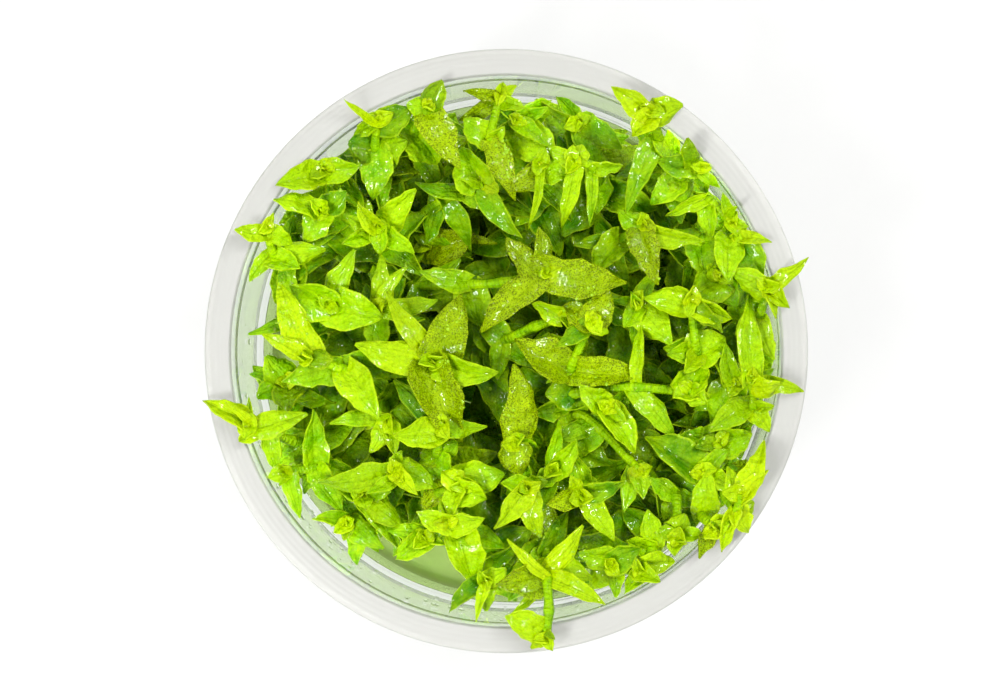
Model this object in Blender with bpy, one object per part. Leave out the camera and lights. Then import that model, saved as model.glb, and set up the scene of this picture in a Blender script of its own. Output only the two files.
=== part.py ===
"""Tissue culture of Gratiola viscidula: plantlets on nutrient gel in a clear lidless cup.

Metres, +Z up. The origin is the centre of the cup's flat base.
Sizes below are in millimetres; meshes are made in metres.
"""
import math
import random

import bmesh
import bpy
from mathutils import Matrix, Vector
from mathutils.bvhtree import BVHTree

MM = 0.001
for thing in list(bpy.data.objects):
    bpy.data.objects.remove(thing, do_unlink=True)

# Cup: one thin moulding, a flat flange over a tapered wall with one stacking step
RIM_RADIUS = 50.0
CUP_HEIGHT = 50.0
WALL = 0.8
FLOOR = 0.9
MOUTH_RADIUS = 45.6
COLLAR_RADIUS = 45.3
COLLAR_HEIGHT = 43.0
STEP_RADIUS = 44.4
STEP_HEIGHT = 25.2
STEP_INWARD = 0.8
BASE_RADIUS = 40.6
CORNER = 1.6
LIP_DROP = 2.0
ROUND_SIDES = 36

# Gel: poured in the cup, standing a little higher along the wall
GEL_HEIGHT = 14.8
MENISCUS = 0.9
MENISCUS_WIDTH = 1.6
GAP = 0.3

# Plants: four-sided stems with a broad low node, and pointed stalkless leaves
STEM_RADIUS = 0.95
STEM_TOP_RADIUS = 0.75
NODE_LENGTH = 1.3
BLADE_THICK = 0.42
EYE = Vector((24.0, -5.0, 550.0))
FREE_CORNER = Vector((-15.0, -39.8, 16.0))
FREE_FAR_CORNER = Vector((-9.5, -35.4, 56.0))
SEED = 7
FOOT_LIMIT = 38.5
FOOT_STEP = 1.5
FOOT_WISH = 35.0
FOOT_PLACES = 41
CAP = -1
# A leaf's outline: share of its length and share of its width; it bows up and folds along its midrib
BROAD_STATIONS = ((0.30, 1.0), (0.68, 0.62))
NARROW_STATIONS = ((0.38, 1.0),)
BROAD_WIDTH = 3.8
BROAD_LENGTH = 7.0
BOW = 0.07
FOLD = 0.22
# Old broad leaves grow round the lowest node of each shoot, where they find room
OLD_LEAVES = 3
OLD_LENGTH = (8.5, 12.0)
OLD_WIDTH = (4.4, 5.4)
ROLL = 14.0
OLD_ROLL = 25.0
OLD_TURN = 20.0
OLD_RISE = (-2.0, 3.0)
# How a leaf may give way to its neighbours: a lift in millimetres, a turn in degrees and a scale
WANTED_TRIES = (
    (0, 0, 1), (1.2, 0, 1), (-1.2, 0, 1), (2.4, 0, 1), (-2.4, 0, 1), (0, 6, 1), (0, -6, 1), (1.5, 6, 1),
    (1.5, -6, 1), (-1.5, 6, 1), (-1.5, -6, 1), (3.6, 0, 1), (-3.6, 0, 1), (0, 12, 1), (0, -12, 1),
    (0, 0, 0.85), (2, 0, 0.85), (-2, 0, 0.85), (2, 10, 0.9), (2, -10, 0.9), (-2, 10, 0.9), (-2, -10, 0.9),
    (5, 0, 0.9), (-5, 0, 0.9), (4, 14, 0.85), (4, -14, 0.85), (-4, 14, 0.85), (-4, -14, 0.85),
    (0, 0, 0.7), (3, 0, 0.7), (-3, 0, 0.7), (3, 20, 0.7), (-3, -20, 0.7))
OLD_TRIES = tuple((lift, turn, scale) for scale in (1, 0.8, 0.65)
                  for turn in (0, 20, -20, 40, -40) for lift in (0, 3, -3, 6))

# Each shoot: the points of its stem as seen from above, (x, y) in the plane of the rim with
# its true height, then its leaves: stem point it grows from, tip seen at (x, y), its height, width
SHOOTS = (
    # Upper left
    (((-20, 29, 36), (-21.5, 33.5, 45), (-21, 38.3, 48)),
     ((2, -26.3, 43.3, 50.5, 1.3), (2, -16, 41.2, 49, 4), (2, -25.4, 36.7, 46, 2.2),
      (1, -16.3, 34.8, 47.5, 5),
      (1, -26, 34.5, 46.5, 4.5), (1, -27.6, 32.4, 45, 1.6), (1, -22, 25.3, 44.5, 4.6))),
    (((-27, 26, 38), (-30, 30, 48.5)),
     ((1, -37.9, 27.4, 49.5, 3.6), (1, -24.3, 30.6, 49, 3.6), (1, -26, 25.8, 44.5, 4))),
    (((-28.5, 20, 37), (-30.5, 23.2, 48)),
     ((1, -38.2, 24.8, 48.5, 3.2), (1, -26.2, 26.4, 49, 3.2), (1, -33.2, 18.2, 47, 3.8))),
    (((-35, 14, 38), (-38.3, 16, 46.5), (-39.5, 20.2, 50.3)),
     ((2, -44.7, 19.9, 51.4, 2.6), (2, -35.7, 18, 48.5, 2.6), (2, -38.4, 22.9, 52.5, 0.9),
      (2, -41.3, 18.5, 51, 1.6), (1, -30.2, 16.9, 49, 3.2), (1, -32.8, 14.2, 47, 3.8),
      (1, -42.2, 11.8, 46, 2.2), (1, -35.5, 11.3, 44.5, 3.6))),
    (((-19.5, 16, 37), (-21.2, 20.6, 48.5)),
     ((1, -14.8, 26.9, 50, 3.8), (1, -26.3, 22.4, 50, 2.6), (1, -27.1, 17.9, 49, 2.6),
      (1, -15.2, 16.4, 49, 3), (1, -20.6, 16, 46, 2.6), (1, -24, 25, 47.5, 2.8))),
    # Top
    (((-14, 31.5, 35), (-15, 36, 44), (-12.6, 40.2, 49)),
     ((2, -10.2, 44.7, 51.5, 3.4), (2, -7.6, 30.2, 49.5, 4.4), (2, -16.2, 41, 49, 2.6),
      (2, -6.6, 36.7, 46, 1.5),
      (1, -11.3, 31, 44, 5), (1, -19, 37.4, 44, 3.6))),
    (((-2.4, 27, 36), (-2.4, 35, 48), (-0.8, 42.2, 48.8)),
     ((2, -6.9, 43.1, 50, 1.7), (2, 3.3, 40.2, 50, 2.2), (2, 1.9, 43.8, 50, 1.5),
      (2, -7.5, 38.7, 47.5, 2.2),
      (1, 1.6, 25.1, 49.5, 3.4), (1, -6.8, 38.4, 48.5, 3.6), (1, -5.1, 36.6, 50, 2),
      (1, -0.4, 37.4, 51, 2))),
    (((-15.4, 18.2, 34), (-13.3, 22.7, 39.5), (-9.8, 25.2, 42), (-3.4, 27.6, 44.5)),
     ((3, 2.9, 18.7, 45, 3.2), (3, -7.4, 28.4, 47, 1), (3, -7, 33.6, 45, 5), (2, -5.7, 16.5, 38.5, 3),
      (2, -12, 27, 45, 2.4))),
    (((5.5, 25, 36), (5.9, 30.6, 48.5)),
     ((1, 0.5, 26.6, 49, 3), (1, 11, 29, 49.5, 3.8), (1, 3.8, 18.9, 46, 1.5))),
    (((2.6, 34, 36), (2, 38, 46)),
     ((1, 9.4, 30.8, 48, 5.4), (1, 7.4, 33.5, 45.5, 2.6), (1, 7.6, 41.5, 44, 2.6))),
    (((15.5, 27, 37), (14.8, 30.3, 47.5), (11.4, 31.4, 49.5)),
     ((2, 9.2, 20.6, 47.5, 2.2), (2, 7.2, 33.5, 49, 2.2), (2, 12.8, 34, 50, 2.4), (1, 14.1, 20.5, 47, 1.6),
      (1, 19.4, 30.8, 48, 2.2), (1, 16.6, 23.4, 46, 1.4))),
    (((12.5, 34, 34), (12.2, 37.6, 43.5)),
     ((1, 14.9, 30.9, 44, 3.8), (1, 19.3, 33.4, 44.5, 3.6), (1, 5.5, 41.8, 44.5, 1.2))),
    (((-12, 14, 28), (-13.3, 17.4, 35)),
     ((1, -5, 19, 38.5, 5), (1, -0.3, 15.8, 38, 2.4), (1, -17.8, 13.6, 36, 3))),
    # Upper right
    (((24.5, 31, 36), (25.4, 35, 46.5), (24.8, 37, 50), (24, 39.4, 52.5)),
     ((3, 17.6, 43.7, 53.5, 3.2), (3, 29.2, 40.7, 53.5, 3.6), (3, 21.3, 35.6, 52.5, 3.2),
      (1, 31.6, 31.9, 46.5, 4.4), (1, 20, 22.8, 48, 3.2))),
    (((29.5, 25, 36), (29, 28.6, 45.5), (32.4, 30.2, 48.5)),
     ((2, 25.1, 31.6, 49, 3), (2, 31.1, 36.2, 51.5, 2.6), (2, 35.5, 27, 48, 1.4), (2, 33.4, 26.4, 47.5, 2),
      (1, 24.3, 24.2, 46, 3.6), (1, 30.4, 24.3, 45, 3.8))),
    (((34, 20, 37), (33.6, 24.8, 46.5), (37.4, 21.4, 48)),
     ((2, 36, 26.1, 50, 1.6), (2, 38.3, 23.6, 50.5, 1), (2, 40.2, 20.4, 49.5, 1.4),
      (1, 34.2, 18.2, 47, 2.6),
      (1, 26.5, 22.3, 46.5, 2))),
    (((16.5, 15.5, 36), (19.3, 18.3, 44.5), (22.8, 20.8, 48.5)),
     ((2, 33, 18.3, 49, 2.8), (2, 25.3, 11, 48.5, 3.6), (2, 18.9, 23, 48.5, 2.6), (1, 15, 12.6, 46.5, 4),
      (1, 22.7, 13.2, 44, 1.4))),
    (((32, 14, 36), (32.6, 18.4, 44.5), (38, 18.6, 47.5)),
     ((2, 43.4, 12.6, 49.5, 4.8), (2, 36.8, 11.3, 48, 4), (2, 44, 18.4, 50.5, 2),
      (1, 33.4, 12.2, 45.5, 4.2),
      (1, 28.2, 19, 45, 2))),
    # Left
    (((-24, -4, 36), (-26.6, -3.1, 47.5), (-32.7, -1, 50)),
     ((2, -37.8, 11.3, 51.5, 4.6), (2, -40, 4.4, 50.5, 2.4), (2, -28.5, -1.4, 51.5, 2.4),
      (1, -36.9, -5.2, 48.5, 4.2), (1, -20.9, -11.2, 50, 4.6), (1, -16.4, -4.2, 47, 3.6))),
    (((-20, -8, 36), (-19.6, -11.6, 47.5)),
     ((1, -18.4, -17.3, 49, 2.8), (1, -29.1, -12, 49, 2.2), (1, -22, -16.8, 46, 2.4))),
    (((-10.5, -5.5, 36), (-11.8, -1.9, 50.5)),
     ((1, -24.9, 1.1, 52.5, 4.4), (1, -1.3, -3.6, 52, 4), (1, -19.9, 9.9, 52.5, 2.8), (1, -7.2, -15, 48, 6),
      (1, -7.3, 9.2, 48, 5.4))),
    (((-27.5, 3.5, 36), (-29.3, 7.7, 47.5)),
     ((1, -20.4, 5.6, 49.5, 5.4), (1, -25, 16.7, 49.5, 3.2), (1, -42.5, 2.6, 49, 2.2),
      (1, -35.3, 11, 46, 4.8))),
    (((-20, 3, 36), (-21.2, 7, 46.5)),
     ((1, -20.7, 15.8, 49.5, 2.6), (1, -11.2, 8.4, 49, 3), (1, -16.2, 13.9, 49, 1.6))),
    (((-33, -9, 35), (-36.2, -5.2, 44)),
     ((1, -39.7, -1, 46, 4), (1, -41.2, -7.8, 45.5, 3.4), (1, -36, -10.2, 45, 4.4),
      (1, -31, -8.8, 44, 4.4))),
    (((-30, -15.6, 40), (-35, -15, 45), (-38.8, -13.7, 48.5), (-42.2, -12.5, 51)),
     ((3, -50.4, -8.4, 52.5, 3), (3, -46.3, -8.6, 53, 1.1), (3, -44.2, -15.1, 51.5, 3),
      (3, -33, -10.7, 51, 3.4),
      (3, -42.5, -7.8, 52, 1.3), (2, -37.9, -20, 46, 2.6), (2, -36, -12.8, 49.5, 2))),
    (((-27.5, -18.4, 38), (-31.6, -19.4, 44), (-36.4, -20, 47)),
     ((2, -34, -27.8, 46.5, 2.2), (2, -38.5, -20.9, 47.5, 1.5), (2, -37, -22.4, 46, 1.3),
      (1, -31.8, -9.7, 48, 3.4), (1, -27, -26.8, 45, 3.2), (1, -33.1, -23.7, 45, 2))),
    # Middle
    (((-16, 10.4, 38), (-11, 10.9, 44), (-5.8, 11, 47), (-0.6, 11.3, 49.5), (6.6, 12.8, 52.5)),
     ((4, 0.3, 18.6, 54, 3.6), (4, 20, 11.4, 53, 5.4), (4, -3.9, 3.4, 51.5, 4), (4, 5.6, 20.4, 52, 3),
      (4, 14.9, 14.2, 55, 3), (2, -14, 13.2, 49.5, 3), (2, -3.7, 4, 46, 4.6))),
    (((9.2, -7.5, 36), (10.8, -3.2, 46), (14.3, 4.8, 50.5)),
     ((2, 17.2, 10, 50, 4), (2, 8.8, 0.8, 50.5, 2.6), (2, 10.2, 7.6, 48.5, 3.6), (2, 17, 3, 50, 1.8),
      (1, 1.6, 1.8, 48.5, 5), (1, 22.4, -3.7, 48, 4.6), (1, 7, -5.3, 46, 1))),
    (((-3.5, -0.6, 38), (0, 1.6, 43), (5, 4, 46), (10, 5.7, 47)),
     ((3, 11.6, 9.6, 46, 3), (3, 4.7, 8, 48, 3), (1, -4.6, 4.3, 43, 3.6), (1, 5.7, -2.8, 43.5, 3.6),
      (1, -1.2, -4.6, 42, 2.6))),
    (((4, -18.2, 38), (1.9, -15, 47)),
     ((1, 1.5, -2.3, 49.5, 4.4), (1, 2.5, -20.7, 46, 3.8), (1, 4.9, -18.9, 45, 2.6))),
    (((-11.6, -20.5, 36), (-11.3, -17.3, 45), (-10.2, -12.4, 50)),
     ((2, -18.6, -5, 51.5, 3.2), (2, -2.8, -12.5, 51, 2.6), (2, -18.4, -14, 50.5, 4.4),
      (2, -9, -14.8, 51, 1.8),
      (1, -14.2, -18.6, 46, 2.8), (1, -8, -15, 46.5, 2.8), (1, -8.4, -20.6, 46.5, 4))),
    (((8.5, -9.3, 38), (11.2, -7.2, 44.5), (16, -6.3, 45.5), (21.6, -6, 46.5), (30.8, -6.8, 48)),
     ((4, 27.7, -7.9, 49.5, 2.8), (4, 33.3, -8.6, 49, 2.8), (4, 32.6, -1.8, 47, 4),
      (3, 28.1, -14.9, 46.5, 3.2),
      (3, 22.5, 4.8, 48.5, 1.8), (1, 6.8, -7.3, 45, 4))),
    (((9.5, -11.2, 38), (12.5, -10.6, 42.5), (16, -13, 44.5), (22, -19.6, 46.5)),
     ((3, 19.7, -26.6, 47, 2.2), (3, 22.9, -24.4, 45.5, 2.8), (3, 26, -22.5, 46, 2),
      (2, 10.8, -17.9, 42, 3))),
    (((17, -12.2, 37), (16.9, -9.3, 47)),
     ((1, 21.4, -17, 47.5, 3.6), (1, 12.4, -5.6, 48.5, 3.2), (1, 20, -11.5, 46, 2.4))),
    (((8.6, -23.4, 36), (7.8, -20, 46.5)),
     ((1, 11.9, -14.6, 48.5, 3), (1, 8.9, -11.5, 47, 2.2), (1, 17.4, -13.9, 46.5, 4.8),
      (1, 5, -22, 46.5, 2.6))),
    # Right
    (((32, 3, 36), (31.7, -0.4, 46.5), (30.8, 7.8, 49)),
     ((2, 23.2, 8.7, 49.5, 3.6), (2, 37.5, 5.3, 48.5, 3.2), (2, 35.9, 3.2, 50, 2.6), (1, 26.8, -0.7, 49, 3),
      (1, 36.3, 2, 46.5, 4.8), (1, 29.3, -4, 46, 3))),
    (((36, 9, 37), (35.7, 12.4, 46)),
     ((1, 31, 8.8, 47.5, 5.2), (1, 33.4, 14.2, 47.5, 2.6), (1, 38.2, 7.4, 46.5, 3.8))),
    (((40, 4, 39), (42, 5.8, 46.5), (43.4, 10.4, 50.5)),
     ((2, 50, 15.4, 54, 2.2), (2, 37.4, 13.3, 51, 3.6), (2, 46.9, 7.1, 51.5, 2.4), (2, 44.4, 5.3, 51, 1.8),
      (2, 40.3, 9, 49, 3.4), (1, 44.5, -1.5, 48.5, 2.6), (1, 38.2, 2.5, 46.5, 2.2))),
    (((38.5, -12.5, 37), (41, -9.3, 46.5), (40.8, -5, 49.7)),
     ((2, 40.3, 9.4, 49.5, 3.4), (2, 49.1, -6.7, 52, 2.4), (2, 45.2, -5, 51, 3),
      (1, 33.9, -13.3, 49.5, 3.2),
      (1, 44.5, -9.1, 50.5, 2), (1, 43.6, -13.3, 47.5, 2.6))),
    (((20.6, 4, 36), (22, 7.7, 46.5)),
     ((1, 27.5, 1, 47, 4), (1, 20.8, 9.8, 48.5, 1.4), (1, 19.8, 3.8, 45, 3), (1, 17.2, 8.4, 47, 1.2))),
    (((36.6, -9.5, 35), (38.2, -5.4, 45)),
     ((1, 34.2, -1.5, 46.5, 3.2), (1, 34.3, -12, 44, 4.8), (1, 36.3, 1.3, 46, 2.6))),
    (((35.5, -18.5, 36), (35.2, -15, 45.5)),
     ((1, 29.9, -13.5, 46.5, 4.8), (1, 31, -16.2, 44.5, 2.4), (1, 40.7, -13.7, 46, 4.2))),
    (((32, -23.5, 37), (32.8, -20, 48)),
     ((1, 23.2, -14.3, 49.5, 5), (1, 38.4, -23, 46, 3), (1, 36.8, -16.4, 47, 2.6))),
    (((35, -22, 36), (35.6, -22.9, 48), (38.2, -26.2, 52.6), (38.8, -23.6, 53.4)),
     ((3, 42.9, -14.9, 53, 3.2), (3, 43.4, -19.6, 53, 2.4), (3, 36.9, -19, 51, 2.2),
      (2, 41, -25, 52.5, 2.8),
      (2, 40, -30, 52, 3.2), (2, 35.8, -32.9, 52, 2.2), (1, 36.1, -20.5, 49, 2.6))),
    (((33, -24, 37), (32.6, -27.2, 47), (33.6, -28.1, 50), (34.8, -29.2, 52)),
     ((3, 32.2, -34.2, 52, 2.2), (3, 34.2, -32.1, 52.5, 1.6), (3, 37.9, -28, 52.5, 2.4),
      (1, 33.5, -19.6, 49.5, 3.6))),
    (((27.5, -20, 36), (28.3, -23.8, 45.5), (28.3, -31, 48.5)),
     ((2, 29.8, -27, 49.5, 3.2), (2, 33, -30.9, 49.5, 2.2), (2, 25.6, -29.3, 49, 2),
      (1, 23.8, -20.8, 47.5, 2.6),
      (1, 26.2, -27.8, 46, 3), (1, 31.2, -25.6, 45, 2.4))),
    (((24, -28, 36), (24.4, -32.6, 47), (22.5, -35.8, 48.5)),
     ((2, 27.9, -34.7, 48, 3), (2, 25.7, -37.9, 48.5, 2.8), (2, 20, -40, 47.5, 2.4),
      (1, 23.7, -26.2, 49.5, 3.4),
      (1, 20, -31.3, 48.5, 2.8))),
    # Bottom
    (((-17, -23, 36), (-18, -19.7, 49)),
     ((1, -32.1, -21.7, 49.5, 3.6), (1, -11.4, -22.6, 48.5, 3.4), (1, -22.7, -23.6, 48, 2),
      (1, -13.6, -24.1, 47, 2.4),
      (1, -17, -16.6, 50, 1.8))),
    (((-21, -20.5, 36), (-23.6, -24, 47)),
     ((1, -17.1, -29.3, 48.5, 3.4), (1, -17.7, -33.1, 46, 3), (1, -18.6, -23, 46, 2.8),
      (1, -27.5, -23, 46.5, 2.6))),
    (((-22.5, -25.5, 35), (-25.9, -28.4, 44)),
     ((1, -31.9, -28, 45.5, 2.2), (1, -20.3, -32.5, 45.5, 3.2), (1, -26.5, -31.5, 44.5, 1.8))),
    (((-9.5, -25, 36), (-7.2, -30.4, 47.5), (-9.2, -28.5, 50.5)),
     ((2, -14.6, -26.6, 52, 3), (2, -3.4, -27.7, 52, 3.2), (2, -10.5, -24.6, 50, 2.4),
      (1, -5.9, -38.7, 47, 4.8),
      (1, -0.3, -32.8, 46.5, 3.2), (1, -2.6, -34.9, 45.5, 1.6))),
    (((-12.6, -27, 36), (-13.2, -30.8, 47)),
     ((1, -17.1, -35.5, 47, 3.2), (1, -19.4, -29.8, 46, 2.2), (1, -10, -32.3, 47.5, 1.8))),
    (((-10, -20.8, 35), (-11, -23.5, 45.5), (-7, -22.3, 49)),
     ((2, -10.4, -20.2, 50, 3.2), (2, -3.1, -24.4, 49.5, 3.8), (2, -0.1, -20.4, 48, 4.8),
      (2, -8.9, -27.6, 49, 2.8),
      (2, -1.8, -27.6, 47, 1.8), (1, -13.5, -26.1, 45.5, 2.4), (1, -11.4, -21.2, 47, 2))),
    (((3.8, -19.2, 36), (3.8, -22.5, 49.5)),
     ((1, -0.6, -21.9, 50.5, 2.6), (1, 5.8, -30.7, 49, 3.4), (1, -1.7, -29, 47, 3.2),
      (1, 7, -21.6, 49, 2.2))),
    (((13.6, -20, 36), (12.8, -24, 50)),
     ((1, 6.9, -25.5, 50.5, 2.8), (1, 19.7, -21.3, 50.5, 3), (1, 11, -20.6, 52.5, 1.8),
      (1, 18.1, -31.3, 48, 3.4))),
    (((7, -32.5, 38), (7, -37.2, 50), (7.3, -42.8, 52), (6.8, -47.2, 52.6)),
     ((3, 0.2, -43.9, 53, 3.8), (3, 4.5, -49.2, 53, 1.4), (3, 8.2, -47.6, 53.4, 1),
      (1, 12.8, -28.9, 52, 2.6),
      (1, -1.5, -38.7, 50.5, 4.6), (1, 0.7, -31.1, 49.5, 1.3), (1, 14.4, -37.6, 51, 3.8),
      (1, 16.7, -41.6, 49, 2.8),
      (1, 1, -43.7, 49, 1.8))),
    (((-2.4, -34, 37), (-3.2, -37.8, 49)),
     ((1, -10.2, -41.9, 50, 2.4), (1, -3.1, -43, 49, 2.8), (1, -4.7, -44.8, 51, 1.4),
      (1, 0.2, -36, 49.5, 2.4))),
    (((17, -31, 37), (17.5, -35.2, 49)),
     ((1, 12.2, -33.2, 49.5, 3.4), (1, 22.2, -32.4, 50, 3.6), (1, 14.3, -39.3, 48.5, 3.4),
      (1, 18.4, -40.5, 48, 2.4))),
)


def seen_at(x, y, height):
    """The true place of what the eye sees at (x, y) in the plane of the rim."""
    share = (EYE.z - height) / (EYE.z - CUP_HEIGHT)
    return Vector((EYE.x + (x - EYE.x) * share, EYE.y + (y - EYE.y) * share, height))


def inner_radius(height):
    """The cup's inside radius at a height, for what has to stay off the wall."""
    if height > STEP_HEIGHT:
        share = (height - STEP_HEIGHT) / (CUP_HEIGHT - STEP_HEIGHT)
        return STEP_RADIUS + (MOUTH_RADIUS - STEP_RADIUS) * share
    share = height / STEP_HEIGHT
    return BASE_RADIUS + CORNER + (STEP_RADIUS - STEP_INWARD - BASE_RADIUS - CORNER) * share


def material(name, colour, roughness, alpha=1.0):
    mat = bpy.data.materials.new(name)
    mat.use_nodes = True
    shader = mat.node_tree.nodes["Principled BSDF"]
    shader.inputs["Base Color"].default_value = (*colour, 1.0)
    shader.inputs["Roughness"].default_value = roughness
    shader.inputs["Metallic"].default_value = 0.0
    shader.inputs["Alpha"].default_value = alpha
    mat.diffuse_color = (*colour, alpha)
    return mat


def add_object(name, bm, mat, smooth_angle=None):
    mesh = bpy.data.meshes.new(name)
    bm.to_mesh(mesh)
    bm.free()
    mesh.materials.append(mat)
    if smooth_angle is not None:
        mesh.shade_smooth()
        mesh.set_sharp_from_angle(angle=math.radians(smooth_angle))
    thing = bpy.data.objects.new(name, mesh)
    bpy.context.scene.collection.objects.link(thing)
    return thing


def turned(profile):
    """A solid of revolution about Z from (radius, height) points, its ends on the axis."""
    bm = bmesh.new()
    points = [bm.verts.new((radius * MM, 0, height * MM)) for radius, height in profile]
    edges = [bm.edges.new(pair) for pair in zip(points, points[1:])]
    bmesh.ops.spin(bm, geom=points + edges, cent=(0, 0, 0), axis=(0, 0, 1), dvec=(0, 0, 0),
                   angle=2 * math.pi, steps=ROUND_SIDES, use_merge=True, use_duplicate=False)
    bmesh.ops.remove_doubles(bm, verts=bm.verts, dist=0.01 * MM)
    bmesh.ops.recalc_face_normals(bm, faces=bm.faces)
    return bm


def make_cup():
    outer_step = STEP_RADIUS - STEP_INWARD + WALL
    profile = (
        (0, 0), (BASE_RADIUS, 0), (BASE_RADIUS + CORNER + 0.4, CORNER + 0.2),
        (outer_step, STEP_HEIGHT - 1), (STEP_RADIUS + WALL, STEP_HEIGHT),
        (COLLAR_RADIUS + WALL, COLLAR_HEIGHT), (MOUTH_RADIUS + WALL, CUP_HEIGHT - WALL),
        (RIM_RADIUS - WALL, CUP_HEIGHT - WALL), (RIM_RADIUS - WALL, CUP_HEIGHT - LIP_DROP),
        (RIM_RADIUS, CUP_HEIGHT - LIP_DROP), (RIM_RADIUS, CUP_HEIGHT), (MOUTH_RADIUS, CUP_HEIGHT),
        (COLLAR_RADIUS, COLLAR_HEIGHT), (STEP_RADIUS, STEP_HEIGHT + 0.3),
        (STEP_RADIUS - STEP_INWARD, STEP_HEIGHT - 0.7), (BASE_RADIUS + CORNER - 0.4, CORNER + FLOOR),
        (BASE_RADIUS - 0.4, FLOOR), (0, FLOOR))
    return turned(profile)


def make_gel():
    wall_at_top = inner_radius(GEL_HEIGHT + MENISCUS) - GAP - 0.1
    profile = (
        (0, FLOOR + GAP), (BASE_RADIUS - 0.9, FLOOR + GAP),
        (BASE_RADIUS + CORNER - 0.9, CORNER + FLOOR + GAP), (wall_at_top, GEL_HEIGHT + MENISCUS),
        (wall_at_top - MENISCUS_WIDTH, GEL_HEIGHT), (0, GEL_HEIGHT))
    return turned(profile)


# Growth: every stem is placed first, then each leaf where it clears all that stands already
def segment_gap(a, b, c, d):
    """The least distance between the segments a-b and c-d."""
    ab, cd, ac = b - a, d - c, c - a
    aa, bb, ab_cd = ab.dot(ab), cd.dot(cd), ab.dot(cd)
    spread = aa * bb - ab_cd * ab_cd
    s = 0.0
    if spread > 1e-9:
        s = min(1.0, max(0.0, (ab.dot(ac) * bb - cd.dot(ac) * ab_cd) / spread))
    t = min(1.0, max(0.0, (ab_cd * s - cd.dot(ac)) / bb))
    s = min(1.0, max(0.0, (ab_cd * t + ab.dot(ac)) / aa))
    return (a + ab * s - c - cd * t).length


def route_gap(route, others):
    """The least distance between a stem's route and the routes that stand already."""
    return min((segment_gap(a, b, c, d) for other in others
                for a, b in zip(route, route[1:]) for c, d in zip(other, other[1:])), default=99.0)


def place_stems():
    """Each stem's points, from a foot on the gel that clears its neighbours, up through those seen."""
    routes = []
    enough = 2 * STEM_RADIUS + 2 * GAP
    for seen, _ in SHOOTS:
        upper = [seen_at(*point) for point in seen]
        wish = upper[0].xy * min(1.0, FOOT_WISH / upper[0].xy.length)
        best, best_gap = None, -1.0
        for step in range(FOOT_PLACES):
            ring, turn = (step + 7) // 8, step % 8
            angle = turn * math.pi / 4 + ring * 0.4
            shift = Vector((math.cos(angle), math.sin(angle))) * ring * FOOT_STEP
            foot = wish + shift
            if foot.length > FOOT_LIMIT:
                continue
            low = Vector((*foot, GEL_HEIGHT + GAP))
            hidden = upper[0] + Vector((*(shift * 0.6), 0.0))
            route = [low, hidden] + upper[1:]
            gap = route_gap(route, routes)
            if gap > best_gap + 0.05:
                best, best_gap = route, gap
            if best_gap > enough:
                break
        routes.append(best)
    return routes


class Stem:
    """A stem's rings of four corners, and the side faces of its nodes that leaves grow from."""

    def __init__(self, route, leaves):
        self.route = route
        self.rings = []
        self.faces = []
        last = len(route) - 1
        counts = [0] * len(route)
        for point, *_ in leaves:
            counts[point + 1] += 1
        counts[1] = max(counts[1], OLD_LEAVES)
        widest = max(leaves, key=lambda leaf: leaf[4])
        along = [(b - a).normalized() for a, b in zip(route, route[1:])]
        out = seen_at(*widest[1:4]) - route[widest[0] + 1]
        across = (out - along[-1] * out.dot(along[-1])).normalized()
        sides = [across]
        for lower, upper in zip(reversed(along[:-1]), reversed(along[1:])):
            across = upper.rotation_difference(lower) @ across
            sides.insert(0, (across - lower * across.dot(lower)).normalized())
        for index, point in enumerate(route):
            before = along[max(index - 1, 0)]
            after = along[min(index, last - 1)]
            tangent = (before + after).normalized()
            side = sides[min(index, last - 1)] if index else sides[0]
            side = (side - tangent * side.dot(tangent)).normalized()
            share = index / last
            radius = STEM_RADIUS + (STEM_TOP_RADIUS - STEM_RADIUS) * share
            taken_by_cap = 1 if index == last else 0
            levels = max(math.ceil((counts[index] - taken_by_cap) / 4), taken_by_cap)
            start = -levels * NODE_LENGTH * (1.0 if index == last else 0.5)
            for level in range(levels + 1):
                offset = start + level * NODE_LENGTH
                if level:
                    self.faces.append((index, len(self.rings) - 1))
                self.rings.append(self.ring(point + tangent * offset, tangent, side, radius))
        self.free = [(node, ring, corner) for node, ring in self.faces for corner in range(4)]
        self.free.append((last, len(self.rings) - 1, CAP))

    def ring(self, centre, tangent, side, radius):
        other = tangent.cross(side)
        reach = radius / math.sqrt(2)
        return [centre + (side * x + other * y) * reach for x, y in ((1, -1), (1, 1), (-1, 1), (-1, -1))]

    def corners(self, place):
        """The four corners of a side face, or of the cap, counter-clockwise from outside."""
        _, ring, corner = place
        if corner == CAP:
            return list(self.rings[ring])
        low, high = self.rings[ring], self.rings[ring + 1]
        after = (corner + 1) % 4
        return [low[corner], low[after], high[after], high[corner]]

    def polygons(self):
        points = [corner for ring in self.rings for corner in ring]
        faces = [(3, 2, 1, 0), tuple(range(len(points) - 4, len(points)))]
        for low in range(len(self.rings) - 1):
            for corner in range(4):
                after = (corner + 1) % 4
                faces.append((low * 4 + corner, low * 4 + after, low * 4 + 4 + after, low * 4 + 4 + corner))
        return points, faces


def normal_of(corners):
    return (corners[1] - corners[0]).cross(corners[3] - corners[0]).normalized()


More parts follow.
